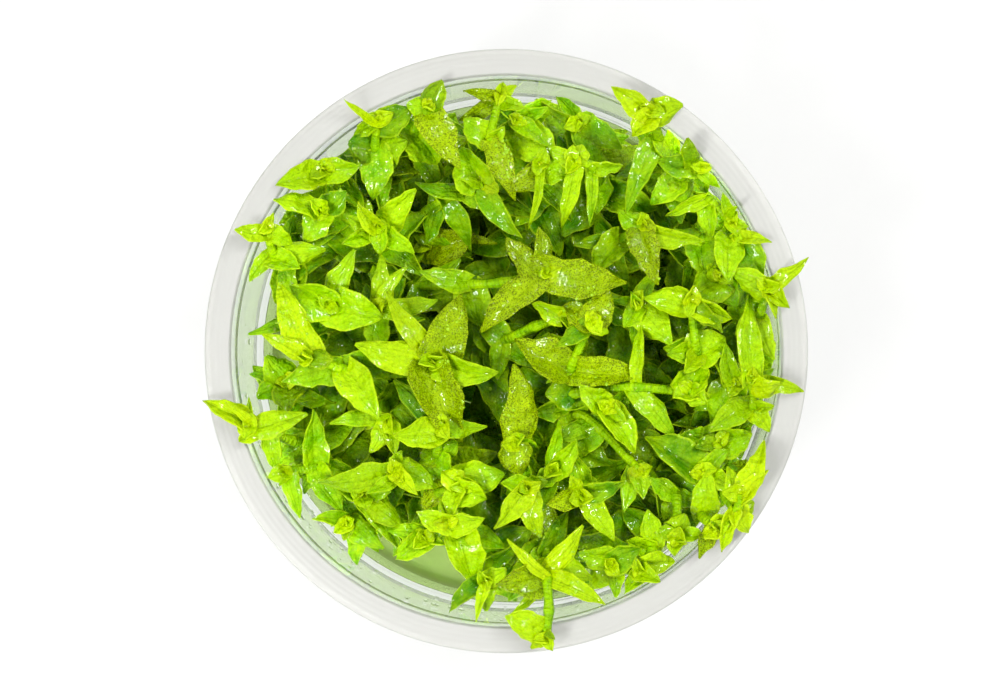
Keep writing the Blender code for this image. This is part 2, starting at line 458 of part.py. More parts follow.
class Blade:
    """A leaf: rings of right edge, upper midrib, left edge and lower midrib, ending in a point."""

    def __init__(self, corners, tip, width, roll):
        self.base = corners
        root = sum(corners, Vector()) / 4
        chord = tip - root
        self.length = chord.length
        self.tip, self.width = tip, width
        flat = Vector((chord.x, chord.y, 0.0))
        if flat.length < 0.35 * self.length:
            out = normal_of(corners)
            flat = flat + Vector((out.x, out.y, 0.0)) * self.length * 0.5
        level = Vector((0, 0, 1)).cross(flat).normalized()
        stations = BROAD_STATIONS if width >= BROAD_WIDTH and self.length > BROAD_LENGTH else NARROW_STATIONS
        self.sections = []
        for share, breadth in stations:
            centre = root + chord * share + Vector((0, 0, BOW * self.length * 4 * share * (1 - share)))
            along = (chord + Vector((0, 0, BOW * self.length * 4 * (1 - 2 * share)))).normalized()
            right = (level - along * level.dot(along)).normalized()
            right = Matrix.Rotation(roll, 3, along) @ right
            self.sections.append((centre, right, along.cross(right), width * breadth / 2))

    def rings(self, extra=0.0):
        rings = []
        for centre, right, up, half in self.sections:
            lift = up * half * FOLD
            rings.append([centre + right * (half + extra) + lift, centre + up * (BLADE_THICK / 2 + extra),
                          centre - right * (half + extra) + lift, centre - up * (BLADE_THICK / 2 + extra)])
        return rings

    def polygons(self, extra=0.0, start=0.0):
        """The blade's skin as points and faces, from a share of the way to its first ring."""
        rings = self.rings(extra)
        first = match_corners(self.base, rings[0])
        rings = [[ring[(index + first) % 4] for index in range(4)] for ring in rings]
        if start < 1.0:
            rings.insert(0, [a.lerp(b, start) for a, b in zip(self.base, rings[0])])
        reach = self.tip + (self.tip - self.sections[-1][0]).normalized() * extra
        points = [corner for ring in rings for corner in ring] + [reach]
        faces = []
        for low in range(len(rings) - 1):
            for corner in range(4):
                after = (corner + 1) % 4
                faces.append((low * 4 + corner, low * 4 + after, low * 4 + 4 + after, low * 4 + 4 + corner))
        base = len(points) - 5
        faces += [(base + corner, base + (corner + 1) % 4, len(points) - 1) for corner in range(4)]
        return points, faces


def match_corners(base, ring):
    """The turn of a ring's corners that twists least against the face it grows from."""
    centre = sum(base, Vector()) / 4
    middle = sum(ring, Vector()) / 4

    def twist(first):
        pairs = zip(base, ring[first:] + ring[:first])
        return sum(((a - centre).normalized() - (b - middle).normalized()).length for a, b in pairs)
    return min(range(4), key=twist)


def box_of(points):
    return [[choose(point[axis] for point in points) for axis in range(3)] for choose in (min, max)]


def boxes_meet(one, two):
    return all(one[0][axis] <= two[1][axis] and two[0][axis] <= one[1][axis] for axis in range(3))


class Solid:
    """What stands already: its owner, its box and its faces for the clearance test."""

    def __init__(self, owner, kind, points, faces):
        self.owner, self.kind = owner, kind
        self.box = box_of(points)
        self.tree = BVHTree.FromPolygons(points, faces)


def clears(blade, owner, standing):
    points, faces = blade.polygons(GAP)
    box = box_of(points)
    if box[0][2] < GEL_HEIGHT + MENISCUS + 2 * GAP:
        return False
    if boxes_meet(box, (FREE_CORNER, FREE_FAR_CORNER)):
        return False
    whole = BVHTree.FromPolygons(points, faces)
    outer = BVHTree.FromPolygons(*blade.polygons(GAP * 0.5, 1.0))
    inner = BVHTree.FromPolygons(*blade.polygons(0.0, 0.3))
    for solid in standing:
        if not boxes_meet(box, solid.box):
            continue
        if solid.owner != owner:
            if whole.overlap(solid.tree):
                return False
        elif outer.overlap(solid.tree):
            return False
        elif solid.kind == "leaf" and inner.overlap(solid.tree):
            return False
    return True


def grow_leaf(stem, owner, point, tip, width, roll, standing, tries):
    """Puts a leaf on the free face that looks its way, moved a little until it clears."""
    node = point + 1
    faces = [place for place in stem.free if place[0] == node]
    if not faces:
        return None
    root = stem.route[node]
    out = tip - root
    for lift, turn, scale in tries:
        heading = Matrix.Rotation(math.radians(turn), 3, "Z") @ out * scale
        heading.z += lift
        goal = root + heading
        place = max(faces, key=lambda each: normal_of(stem.corners(each)).dot(heading))
        blade = Blade(stem.corners(place), goal, width * max(scale, 0.85), roll)
        if clears(blade, owner, standing):
            stem.free.remove(place)
            points, polygons = blade.polygons()
            standing.append(Solid(owner, "leaf", points, polygons))
            return place, blade
    return None


def mesh_points(bm):
    bm.verts.index_update()
    return [vert.co / MM for vert in bm.verts], [[vert.index for vert in face.verts] for face in bm.faces]


def grow_all(cup):
    """Every stem and leaf, as lists of (stem, leaves) in the order of the table."""
    chance = random.Random(SEED)
    stems = [Stem(route, leaves) for route, (_, leaves) in zip(place_stems(), SHOOTS)]
    standing = [Solid(-1, "cup", *mesh_points(cup))]
    standing += [Solid(owner, "stem", *stem.polygons()) for owner, stem in enumerate(stems)]
    grown = [(stem, []) for stem in stems]
    for owner, (stem, leaves) in enumerate(grown):
        for point, x, y, height, width in SHOOTS[owner][1]:
            roll = math.radians(chance.uniform(-ROLL, ROLL))
            leaf = grow_leaf(stem, owner, point, seen_at(x, y, height), width, roll, standing, WANTED_TRIES)
            if leaf:
                leaves.append(leaf)
    for owner, (stem, leaves) in enumerate(grown):
        start = chance.uniform(0, 360)
        for turn in range(OLD_LEAVES):
            heading = math.radians(start + turn * 360 / OLD_LEAVES + chance.uniform(-OLD_TURN, OLD_TURN))
            length = chance.uniform(*OLD_LENGTH)
            flat = Vector((math.cos(heading), math.sin(heading), 0)) * length
            tip = stem.route[1] + flat + Vector((0, 0, chance.uniform(*OLD_RISE)))
            width = chance.uniform(*OLD_WIDTH)
            roll = math.radians(chance.uniform(-OLD_ROLL, OLD_ROLL))
            leaf = grow_leaf(stem, owner, 0, tip, width, roll, standing, OLD_TRIES)
            if leaf:
                leaves.append(leaf)
    return grown


def make_shoot(stem, leaves):
    """One closed body: the stem drawn out ring by ring, and each leaf drawn out of its face."""
    bm = bmesh.new()
    bmesh.ops.create_circle(bm, segments=4, radius=MM, cap_ends=True)
    bm.faces.ensure_lookup_table()
    face = bm.faces[0]
    for vert, place in zip(face.verts, stem.rings[0]):
        vert.co = place * MM
    sides = {}
    for index, ring in enumerate(stem.rings[1:]):
        face = draw_out(bm, face, ring)
        corners = list(face.verts)
        for corner in range(4):
            edge = bm.edges.get((corners[corner], corners[(corner + 1) % 4]))
            sides[(index, corner)] = next(f for f in edge.link_faces if f is not face)
    sides[(len(stem.rings) - 1, CAP)] = face
    for (_, level, corner), blade in leaves:
        face = sides[(level, corner)]
        root = min(range(4), key=lambda index: (face.verts[index].co - blade.base[0] * MM).length)
        rings = blade.rings()
        first = match_corners(blade.base, rings[0])
        for ring in rings:
            face = draw_out(bm, face, [ring[(index - root + first) % 4] for index in range(4)])
        centre = bmesh.ops.poke(bm, faces=[face])["verts"][0]
        centre.co = blade.tip * MM
    bmesh.ops.holes_fill(bm, edges=[edge for edge in bm.edges if edge.is_boundary], sides=4)
    bmesh.ops.recalc_face_normals(bm, faces=bm.faces)
    return bm


def draw_out(bm, face, ring):
    """Extrudes one face and moves its corners to a ring, in millimetres."""
    face = bmesh.ops.extrude_discrete_faces(bm, faces=[face])["faces"][0]
    for vert, place in zip(face.verts, ring):
        vert.co = place * MM
    return face


cup_mesh = make_cup()
plants = grow_all(cup_mesh)
add_object("cup", cup_mesh, material("clear polypropylene", (0.86, 0.88, 0.87), 0.25, 0.35), 35)
add_object("nutrient_gel", make_gel(), material("agar gel", (0.55, 0.66, 0.40), 0.2), 35)
shade = random.Random(SEED)
for number, (stem, leaves) in enumerate(plants, 1):
    green = shade.uniform(0.85, 1.15)
    leaf_green = material(f"leaf {number:02d}", (0.27 * green, 0.55 * green, 0.01), 0.4)
    add_object(f"shoot_{number:02d}", make_shoot(stem, leaves), leaf_green)
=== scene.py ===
"""Looks of the Gratiola viscidula culture cup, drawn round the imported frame. Metres, +Z up."""
import math
import random

import bmesh
import bpy
import numpy as np
from mathutils import Matrix, Vector, noise
from mathutils.bvhtree import BVHTree


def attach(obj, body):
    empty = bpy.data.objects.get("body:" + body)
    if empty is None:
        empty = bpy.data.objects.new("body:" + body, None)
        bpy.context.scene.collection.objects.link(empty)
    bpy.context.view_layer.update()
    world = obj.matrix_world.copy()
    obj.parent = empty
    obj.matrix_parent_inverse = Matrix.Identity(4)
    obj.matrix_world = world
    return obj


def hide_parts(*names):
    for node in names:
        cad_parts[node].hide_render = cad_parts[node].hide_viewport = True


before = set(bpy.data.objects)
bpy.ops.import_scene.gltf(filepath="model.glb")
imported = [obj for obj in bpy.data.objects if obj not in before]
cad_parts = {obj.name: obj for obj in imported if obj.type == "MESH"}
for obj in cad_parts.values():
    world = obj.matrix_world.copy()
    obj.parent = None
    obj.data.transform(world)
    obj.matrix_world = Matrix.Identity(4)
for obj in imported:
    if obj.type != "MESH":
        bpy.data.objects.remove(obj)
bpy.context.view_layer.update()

# The pieces are drawn in millimetres, and the scene is in metres
MM = 0.001


# Camera: straight above the cup and a little to its right, as the photograph was taken.
# The wide side of the picture takes in 165 mm at the height of the rim.
EYE = Vector((24.0, -5.0, 550.0))
AIM = Vector((-0.78, 0.12, 50.0))
PICTURE_WIDTH = 165.34
SENSOR = 36.0

camera = bpy.data.objects.new("camera", bpy.data.cameras.new("camera"))
bpy.context.scene.collection.objects.link(camera)
back = (EYE - AIM).normalized()
right = (Vector((1, 0, 0)) - back * back.x).normalized()
camera.location = EYE * MM
camera.rotation_euler = Matrix((right, back.cross(right), back)).transposed().to_euler()
camera.data.sensor_width = SENSOR
camera.data.lens = SENSOR * (EYE - AIM).length / PICTURE_WIDTH
camera.data.clip_start = 0.01
bpy.context.scene.camera = camera


# Light: a white room, a soft box on the lower left of the picture and a weaker one across from it.
# Two small lamps near the camera make the wet glints on the leaves.
ROOM = 0.44
# Each lamp: its place and size in millimetres, and its power in watts
LAMPS = (
    ("left_soft_box", (-310, -280, 520), 110, 2.8),
    ("right_soft_box", (330, 260, 480), 100, 1.9),
    ("left_glint_lamp", (-190, -150, 560), 60, 0.85),
    ("right_glint_lamp", (200, 130, 560), 60, 0.8))
LAMP_AIM = 30.0

world = bpy.data.worlds.new("white room")
bpy.context.scene.world = world
world.use_nodes = True
world.node_tree.nodes["Background"].inputs["Color"].default_value = (1.0, 1.0, 1.0, 1.0)
world.node_tree.nodes["Background"].inputs["Strength"].default_value = ROOM
for name, place, size, watts in LAMPS:
    lamp = bpy.data.objects.new(name, bpy.data.lights.new(name, "AREA"))
    lamp.data.shape = "SQUARE"
    lamp.data.size = size * MM
    lamp.data.energy = watts
    lamp.location = Vector(place) * MM
    lamp.rotation_euler = (lamp.location - Vector((0, 0, LAMP_AIM * MM))).to_track_quat("Z", "Y").to_euler()
    bpy.context.scene.collection.objects.link(lamp)
bpy.context.scene.view_settings.view_transform = "Standard"


# Floor: the white sheet that the cup was photographed on.
# Matt paper lit from behind, so bright in the picture that it shows neither edge nor shadow.
FLOOR_REACH = 1500.0
FLOOR_WHITE = "7C7C7A"
FLOOR_GLOW = 0.72


def linear(code):
    """An sRGB hex value as a linear colour with full alpha."""
    shares = [int(code[start:start + 2], 16) / 255 for start in (0, 2, 4)]
    shares = [share / 12.92 if share <= 0.04045 else ((share + 0.055) / 1.055) ** 2.4 for share in shares]
    return (*shares, 1.0)


def add_node(tree, kind, values=(), links=(), **settings):
    """Adds a node with its settings, its inputs' values and its links, both as (input, what) pairs.

    A link comes from a socket, or from the first output of a node."""
    made = tree.nodes.new("ShaderNode" + kind)
    for name, value in settings.items():
        setattr(made, name, value)
    for socket, value in values:
        made.inputs[socket].default_value = value
    for socket, source in links:
        tree.links.new(getattr(source, "outputs", [source])[0], made.inputs[socket])
    return made


def new_material(name, values):
    """A material with a Principled BSDF whose own sockets are set, and that shader."""
    made = bpy.data.materials.new(name)
    made.use_nodes = True
    shader = made.node_tree.nodes["Principled BSDF"]
    for socket, value in values:
        shader.inputs[socket].default_value = value
    return made, shader


def add_piece(name, bm, *materials, smooth_angle=40.0):
    """Makes a bmesh in millimetres an object in metres at the origin."""
    bmesh.ops.scale(bm, vec=(MM, MM, MM), verts=bm.verts)
    mesh = bpy.data.meshes.new(name)
    bm.to_mesh(mesh)
    bm.free()
    for each in materials:
        mesh.materials.append(each)
    mesh.shade_smooth()
    mesh.set_sharp_from_angle(angle=math.radians(smooth_angle))
    piece = bpy.data.objects.new(name, mesh)
    bpy.context.scene.collection.objects.link(piece)
    return piece


floor_paper, shader = new_material("matt white paper", (
    ("Base Color", linear(FLOOR_WHITE)), ("Roughness", 0.9),
    ("Emission Color", linear("FFFFFF")), ("Emission Strength", FLOOR_GLOW)))
fibre = add_node(floor_paper.node_tree, "TexNoise", [("Scale", 900.0), ("Detail", 3.0)],
                 [("Vector", add_node(floor_paper.node_tree, "TexCoord").outputs["Object"])])
bump = add_node(floor_paper.node_tree, "Bump", [("Strength", 0.1), ("Distance", 0.0001)],
                [("Height", fibre)])
floor_paper.node_tree.links.new(bump.outputs["Normal"], shader.inputs["Normal"])
sheet = bmesh.new()
bmesh.ops.create_grid(sheet, x_segments=1, y_segments=1, size=FLOOR_REACH)
add_piece("floor", sheet, floor_paper)


# Cup: one thin clear polypropylene moulding with a flat flange over a tapered wall.
# The wall has a stacking step halfway and a bead under the mouth, and the flange's top is faintly
# frosted. The flange's edge is rounded and turned down, and the cup stands on its flat base.
RIM_RADIUS = 50.0
CUP_HEIGHT = 50.0
WALL = 0.5
FLANGE_THICK = 0.8
CUP_FLOOR = 0.9
MOUTH_RADIUS = 45.6
COLLAR_RADIUS = 45.3
COLLAR_HEIGHT = 43.0
STEP_RADIUS = 44.4
STEP_HEIGHT = 25.2
STEP_INWARD = 0.8
BASE_RADIUS = 40.6
CORNER = 1.6
SKIN = 0.4
LIP_DROP = 2.0
CUP_SIDES = 160
BEAD = 0.25
MOUTH_ROUND = 0.5
FLANGE_RING = 0.9


def turned(profile, sides):
    """A solid of revolution about Z from (radius, height) points, its ends on the axis."""
    bm = bmesh.new()
    points = [bm.verts.new((radius, 0, height)) for radius, height in profile]
    edges = [bm.edges.new(pair) for pair in zip(points, points[1:])]
    bmesh.ops.spin(bm, geom=points + edges, cent=(0, 0, 0), axis=(0, 0, 1), dvec=(0, 0, 0),
                   angle=2 * math.pi, steps=sides, use_merge=True, use_duplicate=False)
    bmesh.ops.remove_doubles(bm, verts=bm.verts, dist=0.001)
    bmesh.ops.recalc_face_normals(bm, faces=bm.faces)
    return bm


def arc(radius, height, size, start, end, steps=5):
    """Points on a quarter turn or so about (radius, height), from one angle to another in degrees."""
    turns = [math.radians(start + (end - start) * step / steps) for step in range(steps + 1)]
    return [(radius + size * math.cos(turn), height + size * math.sin(turn)) for turn in turns]


def cup_profile():
    """The moulding's section, from the centre of its base up the outside and down the inside."""
    outer_step = STEP_RADIUS - STEP_INWARD + WALL
    collar = COLLAR_RADIUS + WALL - 0.1
    under = CUP_HEIGHT - FLANGE_THICK
    brim = FLANGE_THICK / 2
    outside = [(0, 0), (BASE_RADIUS - 3, 0)]
    outside += arc(BASE_RADIUS, CORNER + SKIN, CORNER + SKIN, -90, -12)
    outside += [(outer_step, STEP_HEIGHT - 1), (STEP_RADIUS + WALL, STEP_HEIGHT)]
    outside += [(collar, COLLAR_HEIGHT - 1)]
    outside += arc(collar, COLLAR_HEIGHT, BEAD, -70, 70)
    outside += [(collar, COLLAR_HEIGHT + 1), (MOUTH_RADIUS + WALL - 0.2, under - 0.3)]
    outside += [(MOUTH_RADIUS + WALL, under)]
    outside += [(RIM_RADIUS - FLANGE_THICK, under), (RIM_RADIUS - FLANGE_THICK, CUP_HEIGHT - LIP_DROP + 0.1)]
    outside += arc(RIM_RADIUS - brim, CUP_HEIGHT - LIP_DROP + brim, brim, -160, -20)
    outside += arc(RIM_RADIUS - brim, CUP_HEIGHT - brim, brim, 0, 90)
    inside = arc(MOUTH_RADIUS + MOUTH_ROUND, CUP_HEIGHT - MOUTH_ROUND, MOUTH_ROUND, 90, 180)
    inside += [(COLLAR_RADIUS + 0.05, COLLAR_HEIGHT + 1)]
    inside += [(COLLAR_RADIUS, COLLAR_HEIGHT), (STEP_RADIUS, STEP_HEIGHT + 0.3)]
    inside += [(STEP_RADIUS - STEP_INWARD, STEP_HEIGHT - 0.7)]
    inside += arc(BASE_RADIUS - SKIN, CORNER + CUP_FLOOR, CORNER, -10, -90)
    inside += [(0, CUP_FLOOR)]
    return outside + inside


def inner_radius(height):
    """The cup's inside radius at a height, for what has to stay off the wall."""
    if height > STEP_HEIGHT:
        share = (height - STEP_HEIGHT) / (CUP_HEIGHT - STEP_HEIGHT)
        return STEP_RADIUS + (MOUTH_RADIUS - STEP_RADIUS) * share
    share = height / STEP_HEIGHT
    return BASE_RADIUS + CORNER + (STEP_RADIUS - STEP_INWARD - BASE_RADIUS - CORNER) * share


# Clear polypropylene, moulded glossy on both sides: the white sheet shows through it, hardly greyed
clear_wall, shader = new_material("clear moulded polypropylene", (
    ("Base Color", linear("F7FAF8")), ("Roughness", 0.02), ("IOR", 1.49), ("Specular IOR Level", 0.3),
    ("Transmission Weight", 1.0)))
# The flange's top is frosted and keeps the mould's turning marks, so it looks greyer than the wall
frosted_flange, shader = new_material("frosted polypropylene", (
    ("Base Color", linear("C5C5C1")), ("Roughness", 0.4), ("IOR", 1.49), ("Specular IOR Level", 0.12),
    ("Transmission Weight", 0.7)))
tree = frosted_flange.node_tree
place = add_node(tree, "TexCoord").outputs["Object"]
across = add_node(tree, "VectorMath", [(1, (1.0, 1.0, 0.0))], [(0, place)], operation="MULTIPLY")
radius = add_node(tree, "VectorMath", (), [(0, across)], operation="LENGTH")
turns = add_node(tree, "Math", [(1, 2 * math.pi / (FLANGE_RING * MM))],
                 [(0, radius.outputs["Value"])], operation="MULTIPLY")
wave = add_node(tree, "Math", (), [(0, turns)], operation="SINE")
haze = add_node(tree, "TexNoise", [("Scale", 260.0), ("Detail", 4.0)], [("Vector", place)])
height = add_node(tree, "Math", (), [(0, wave), (1, haze)], operation="ADD")
bump = add_node(tree, "Bump", [("Strength", 0.15), ("Distance", 0.00005)], [("Height", height)])
tree.links.new(bump.outputs["Normal"], shader.inputs["Normal"])

cup = turned(cup_profile(), CUP_SIDES)
for face in cup.faces:
    middle = face.calc_center_median()
    if middle.xy.length > MOUTH_RADIUS - 0.1 and middle.z > CUP_HEIGHT - LIP_DROP:
        face.material_index = 1
cup_piece = add_piece("cup_moulding", cup, clear_wall, frosted_flange, smooth_angle=35.0)
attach(cup_piece, "root")
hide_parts("cup")
# Lamps shine through clear plastic, and the renderer would otherwise stop their light at it
cup_piece.visible_shadow = False


# Condensation: beads of water on the inside of the wall, thickest at the lower left.
# Plain water, held by its own tension.
water, shader = new_material("water", (
    ("Base Color", linear("FFFFFF")), ("Roughness", 0.0), ("IOR", 1.333), ("Transmission Weight", 1.0)))
DROPLETS = 150
DEW_HEIGHTS = (17.0, 44.0)
DEW_SIZES = (0.25, 0.7)
DEW_MIDDLE = math.radians(228)
DEW_SPREAD = 0.7
DEW_OFF_WALL = 0.28
DEW_FLATNESS = 0.45

chance = random.Random(3)
dew = bmesh.new()
for _ in range(DROPLETS):
    turn = DEW_MIDDLE + chance.gauss(0, DEW_SPREAD)
    height = chance.uniform(*DEW_HEIGHTS)
    size = chance.uniform(*DEW_SIZES) * chance.uniform(0.6, 1)
    reach = inner_radius(height) - DEW_OFF_WALL
    middle = Vector((math.cos(turn) * reach, math.sin(turn) * reach, height))
    flat = Matrix.Rotation(turn, 4, "Z") @ Matrix.Diagonal((DEW_FLATNESS, 1.0, chance.uniform(0.9, 1.3), 1.0))
    bmesh.ops.create_icosphere(dew, subdivisions=1, radius=size, matrix=Matrix.Translation(middle) @ flat)
dew_piece = add_piece("condensation", dew, water, smooth_angle=180.0)
dew_piece.visible_shadow = False
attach(dew_piece, "root")


# Nutrient gel: agar poured in warm, so it wets the wall and stands a little higher along it.
# It is a little cloudy, and its green is painted light: the plants' green that it picks up.
# Pouring left a thin film on the wall above it, up to the step.
GEL_HEIGHT = 14.8
MENISCUS = 0.9
MENISCUS_WIDTH = 1.6
GEL_WETS = 0.1
RIPPLE = 0.25
RIPPLE_REACH = 40.0

# Agar jelly: see-through, with faint clouds that scatter the light
agar, shader = new_material("agar gel", (
    ("Roughness", 0.15), ("IOR", 1.34), ("Transmission Weight", 0.8), ("Subsurface Weight", 0.8),
    ("Subsurface Scale", 0.012), ("Subsurface Radius", (1.0, 1.1, 0.7))))
tree = agar.node_tree
place = add_node(tree, "TexCoord").outputs["Object"]
cloud = add_node(tree, "TexNoise", [("Scale", 90.0), ("Detail", 5.0)], [("Vector", place)])
# Painted light: the gel's pale greens stand for the plants' green light that it picks up
painted_plant_green_ramp = add_node(tree, "ValToRGB", (), [("Fac", cloud)])
painted_plant_green_ramp.color_ramp.elements[0].color = linear("98B852")
painted_plant_green_ramp.color_ramp.elements[1].color = linear("BAD084")
tree.links.new(painted_plant_green_ramp.outputs["Color"], shader.inputs["Base Color"])
bump = add_node(tree, "Bump", [("Strength", 0.2), ("Distance", 0.0003)], [("Height", cloud)])
tree.links.new(bump.outputs["Normal"], shader.inputs["Normal"])

# Where only the film is left on the wall, it is clearer; its pale green is painted light, the plants' green
# that it picks up
agar_film, shader = new_material("thin agar film", (
    ("Base Color", linear("CEE2A4")), ("Roughness", 0.1), ("IOR", 1.34), ("Transmission Weight", 0.92)))
bump = add_node(agar_film.node_tree, "Bump", [("Strength", 0.3), ("Distance", 0.0003)], [
    ("Height", add_node(agar_film.node_tree, "TexNoise", [("Scale", 300.0), ("Detail", 3.0)], [
        ("Vector", add_node(agar_film.node_tree, "TexCoord").outputs["Object"])]).outputs["Fac"])])
agar_film.node_tree.links.new(bump.outputs["Normal"], shader.inputs["Normal"])

top = GEL_HEIGHT + MENISCUS
profile = [(0, CUP_FLOOR - GEL_WETS), (BASE_RADIUS - SKIN, CUP_FLOOR - GEL_WETS)]
profile += arc(BASE_RADIUS - SKIN, CORNER + CUP_FLOOR, CORNER + GEL_WETS, -80, -10)
profile += [(inner_radius(top) + GEL_WETS, top)]
profile += [(inner_radius(top) - share * MENISCUS_WIDTH, GEL_HEIGHT + MENISCUS * (1 - share) ** 2)
            for share in (0.1, 0.3, 0.55, 0.8, 1.0)]
profile += [(radius, GEL_HEIGHT) for radius in (32, 22, 12)] + [(0, GEL_HEIGHT)]
gel = turned(profile, CUP_SIDES)
for vert in gel.verts:
    if vert.co.z > GEL_HEIGHT - 0.01 and vert.co.xy.length < RIPPLE_REACH:
        vert.co.z += RIPPLE * math.sin(vert.co.x * 0.23 + 1.1) * math.cos(vert.co.y * 0.31)
gel_piece = add_piece("gel_block", gel, agar, smooth_angle=50.0)
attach(gel_piece, "root")
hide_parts("nutrient_gel")
# The lamps' light reaches the stems and roots that stand in it
gel_piece.visible_shadow = False

FILM_TOP = 24.2
FILM_THICK = 0.25
FILM_EDGE = 0.8
film_foot = top - 0.4
section = [(inner_radius(top) + GEL_WETS, film_foot), (inner_radius(FILM_TOP) + GEL_WETS, FILM_TOP),
           (inner_radius(FILM_TOP) - FILM_THICK / 2, FILM_TOP), (inner_radius(top) - FILM_THICK, film_foot)]
film = turned(section + section[:1], CUP_SIDES)
for vert in film.verts:
    if vert.co.z > FILM_TOP - 0.1:
        vert.co.z -= FILM_EDGE * (1 + noise.noise(vert.co * 0.12))
film_piece = add_piece("gel_film", film, agar_film, smooth_angle=50.0)
film_piece.visible_shadow = False
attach(film_piece, "root")


# Plantlets: 58 shoots of Gratiola viscidula, rooted in the gel and crowded up to the mouth.
# Each is a fleshy pale stem with pairs of stalkless pointed leaves, ending in a small rosette.
# They grew there: each stands in the gel and leans on its neighbours and on the rim.
STEM_RADIUS = 0.95
STEM_TOP_RADIUS = 0.75
NODE_LENGTH = 1.3
BLADE_THICK = 0.42
GAP = 0.3
# A gap at the lower left that is kept free of leaves, for tweezers
FREE_CORNER = Vector((-15.0, -39.8, 16.0))
FREE_FAR_CORNER = Vector((-9.5, -35.4, 56.0))
SEED = 7
# Where a stem may stand on the gel
FOOT_LIMIT = 38.5
FOOT_STEP = 1.5
FOOT_WISH = 35.0
FOOT_PLACES = 41
# The end face of a stem, beside its numbered side faces
CAP = -1
# A leaf's outline: share of its length and share of its width; it bows up and folds along its midrib
BROAD_STATIONS = ((0.30, 1.0), (0.68, 0.62))
NARROW_STATIONS = ((0.38, 1.0),)
BROAD_WIDTH = 3.8
BROAD_LENGTH = 7.0
BOW = 0.07
FOLD = 0.22
# A leaf that is steeper than this has hardly a heading of its own and is given half of another
STEEP = 0.35
# Old broad leaves grow round the lowest node of each shoot, where they find room
OLD_LEAVES = 3
OLD_LENGTH = (8.5, 12.0)
OLD_WIDTH = (4.4, 5.4)
ROLL = 14.0
OLD_ROLL = 25.0
OLD_TURN = 20.0
OLD_RISE = (-2.0, 3.0)
# How a leaf may give way to its neighbours: a lift in millimetres, a turn in degrees and a scale
WANTED_TRIES = (
    (0, 0, 1), (1.2, 0, 1), (-1.2, 0, 1), (2.4, 0, 1), (-2.4, 0, 1), (0, 6, 1), (0, -6, 1), (1.5, 6, 1),
    (1.5, -6, 1), (-1.5, 6, 1), (-1.5, -6, 1), (3.6, 0, 1), (-3.6, 0, 1), (0, 12, 1), (0, -12, 1),
    (0, 0, 0.85), (2, 0, 0.85), (-2, 0, 0.85), (2, 10, 0.9), (2, -10, 0.9), (-2, 10, 0.9), (-2, -10, 0.9),
    (5, 0, 0.9), (-5, 0, 0.9), (4, 14, 0.85), (4, -14, 0.85), (-4, 14, 0.85), (-4, -14, 0.85),
    (0, 0, 0.7), (3, 0, 0.7), (-3, 0, 0.7), (3, 20, 0.7), (-3, -20, 0.7))
OLD_TRIES = tuple((lift, turn, scale) for scale in (1, 0.8, 0.65)
                  for turn in (0, 20, -20, 40, -40) for lift in (0, 3, -3, 6))

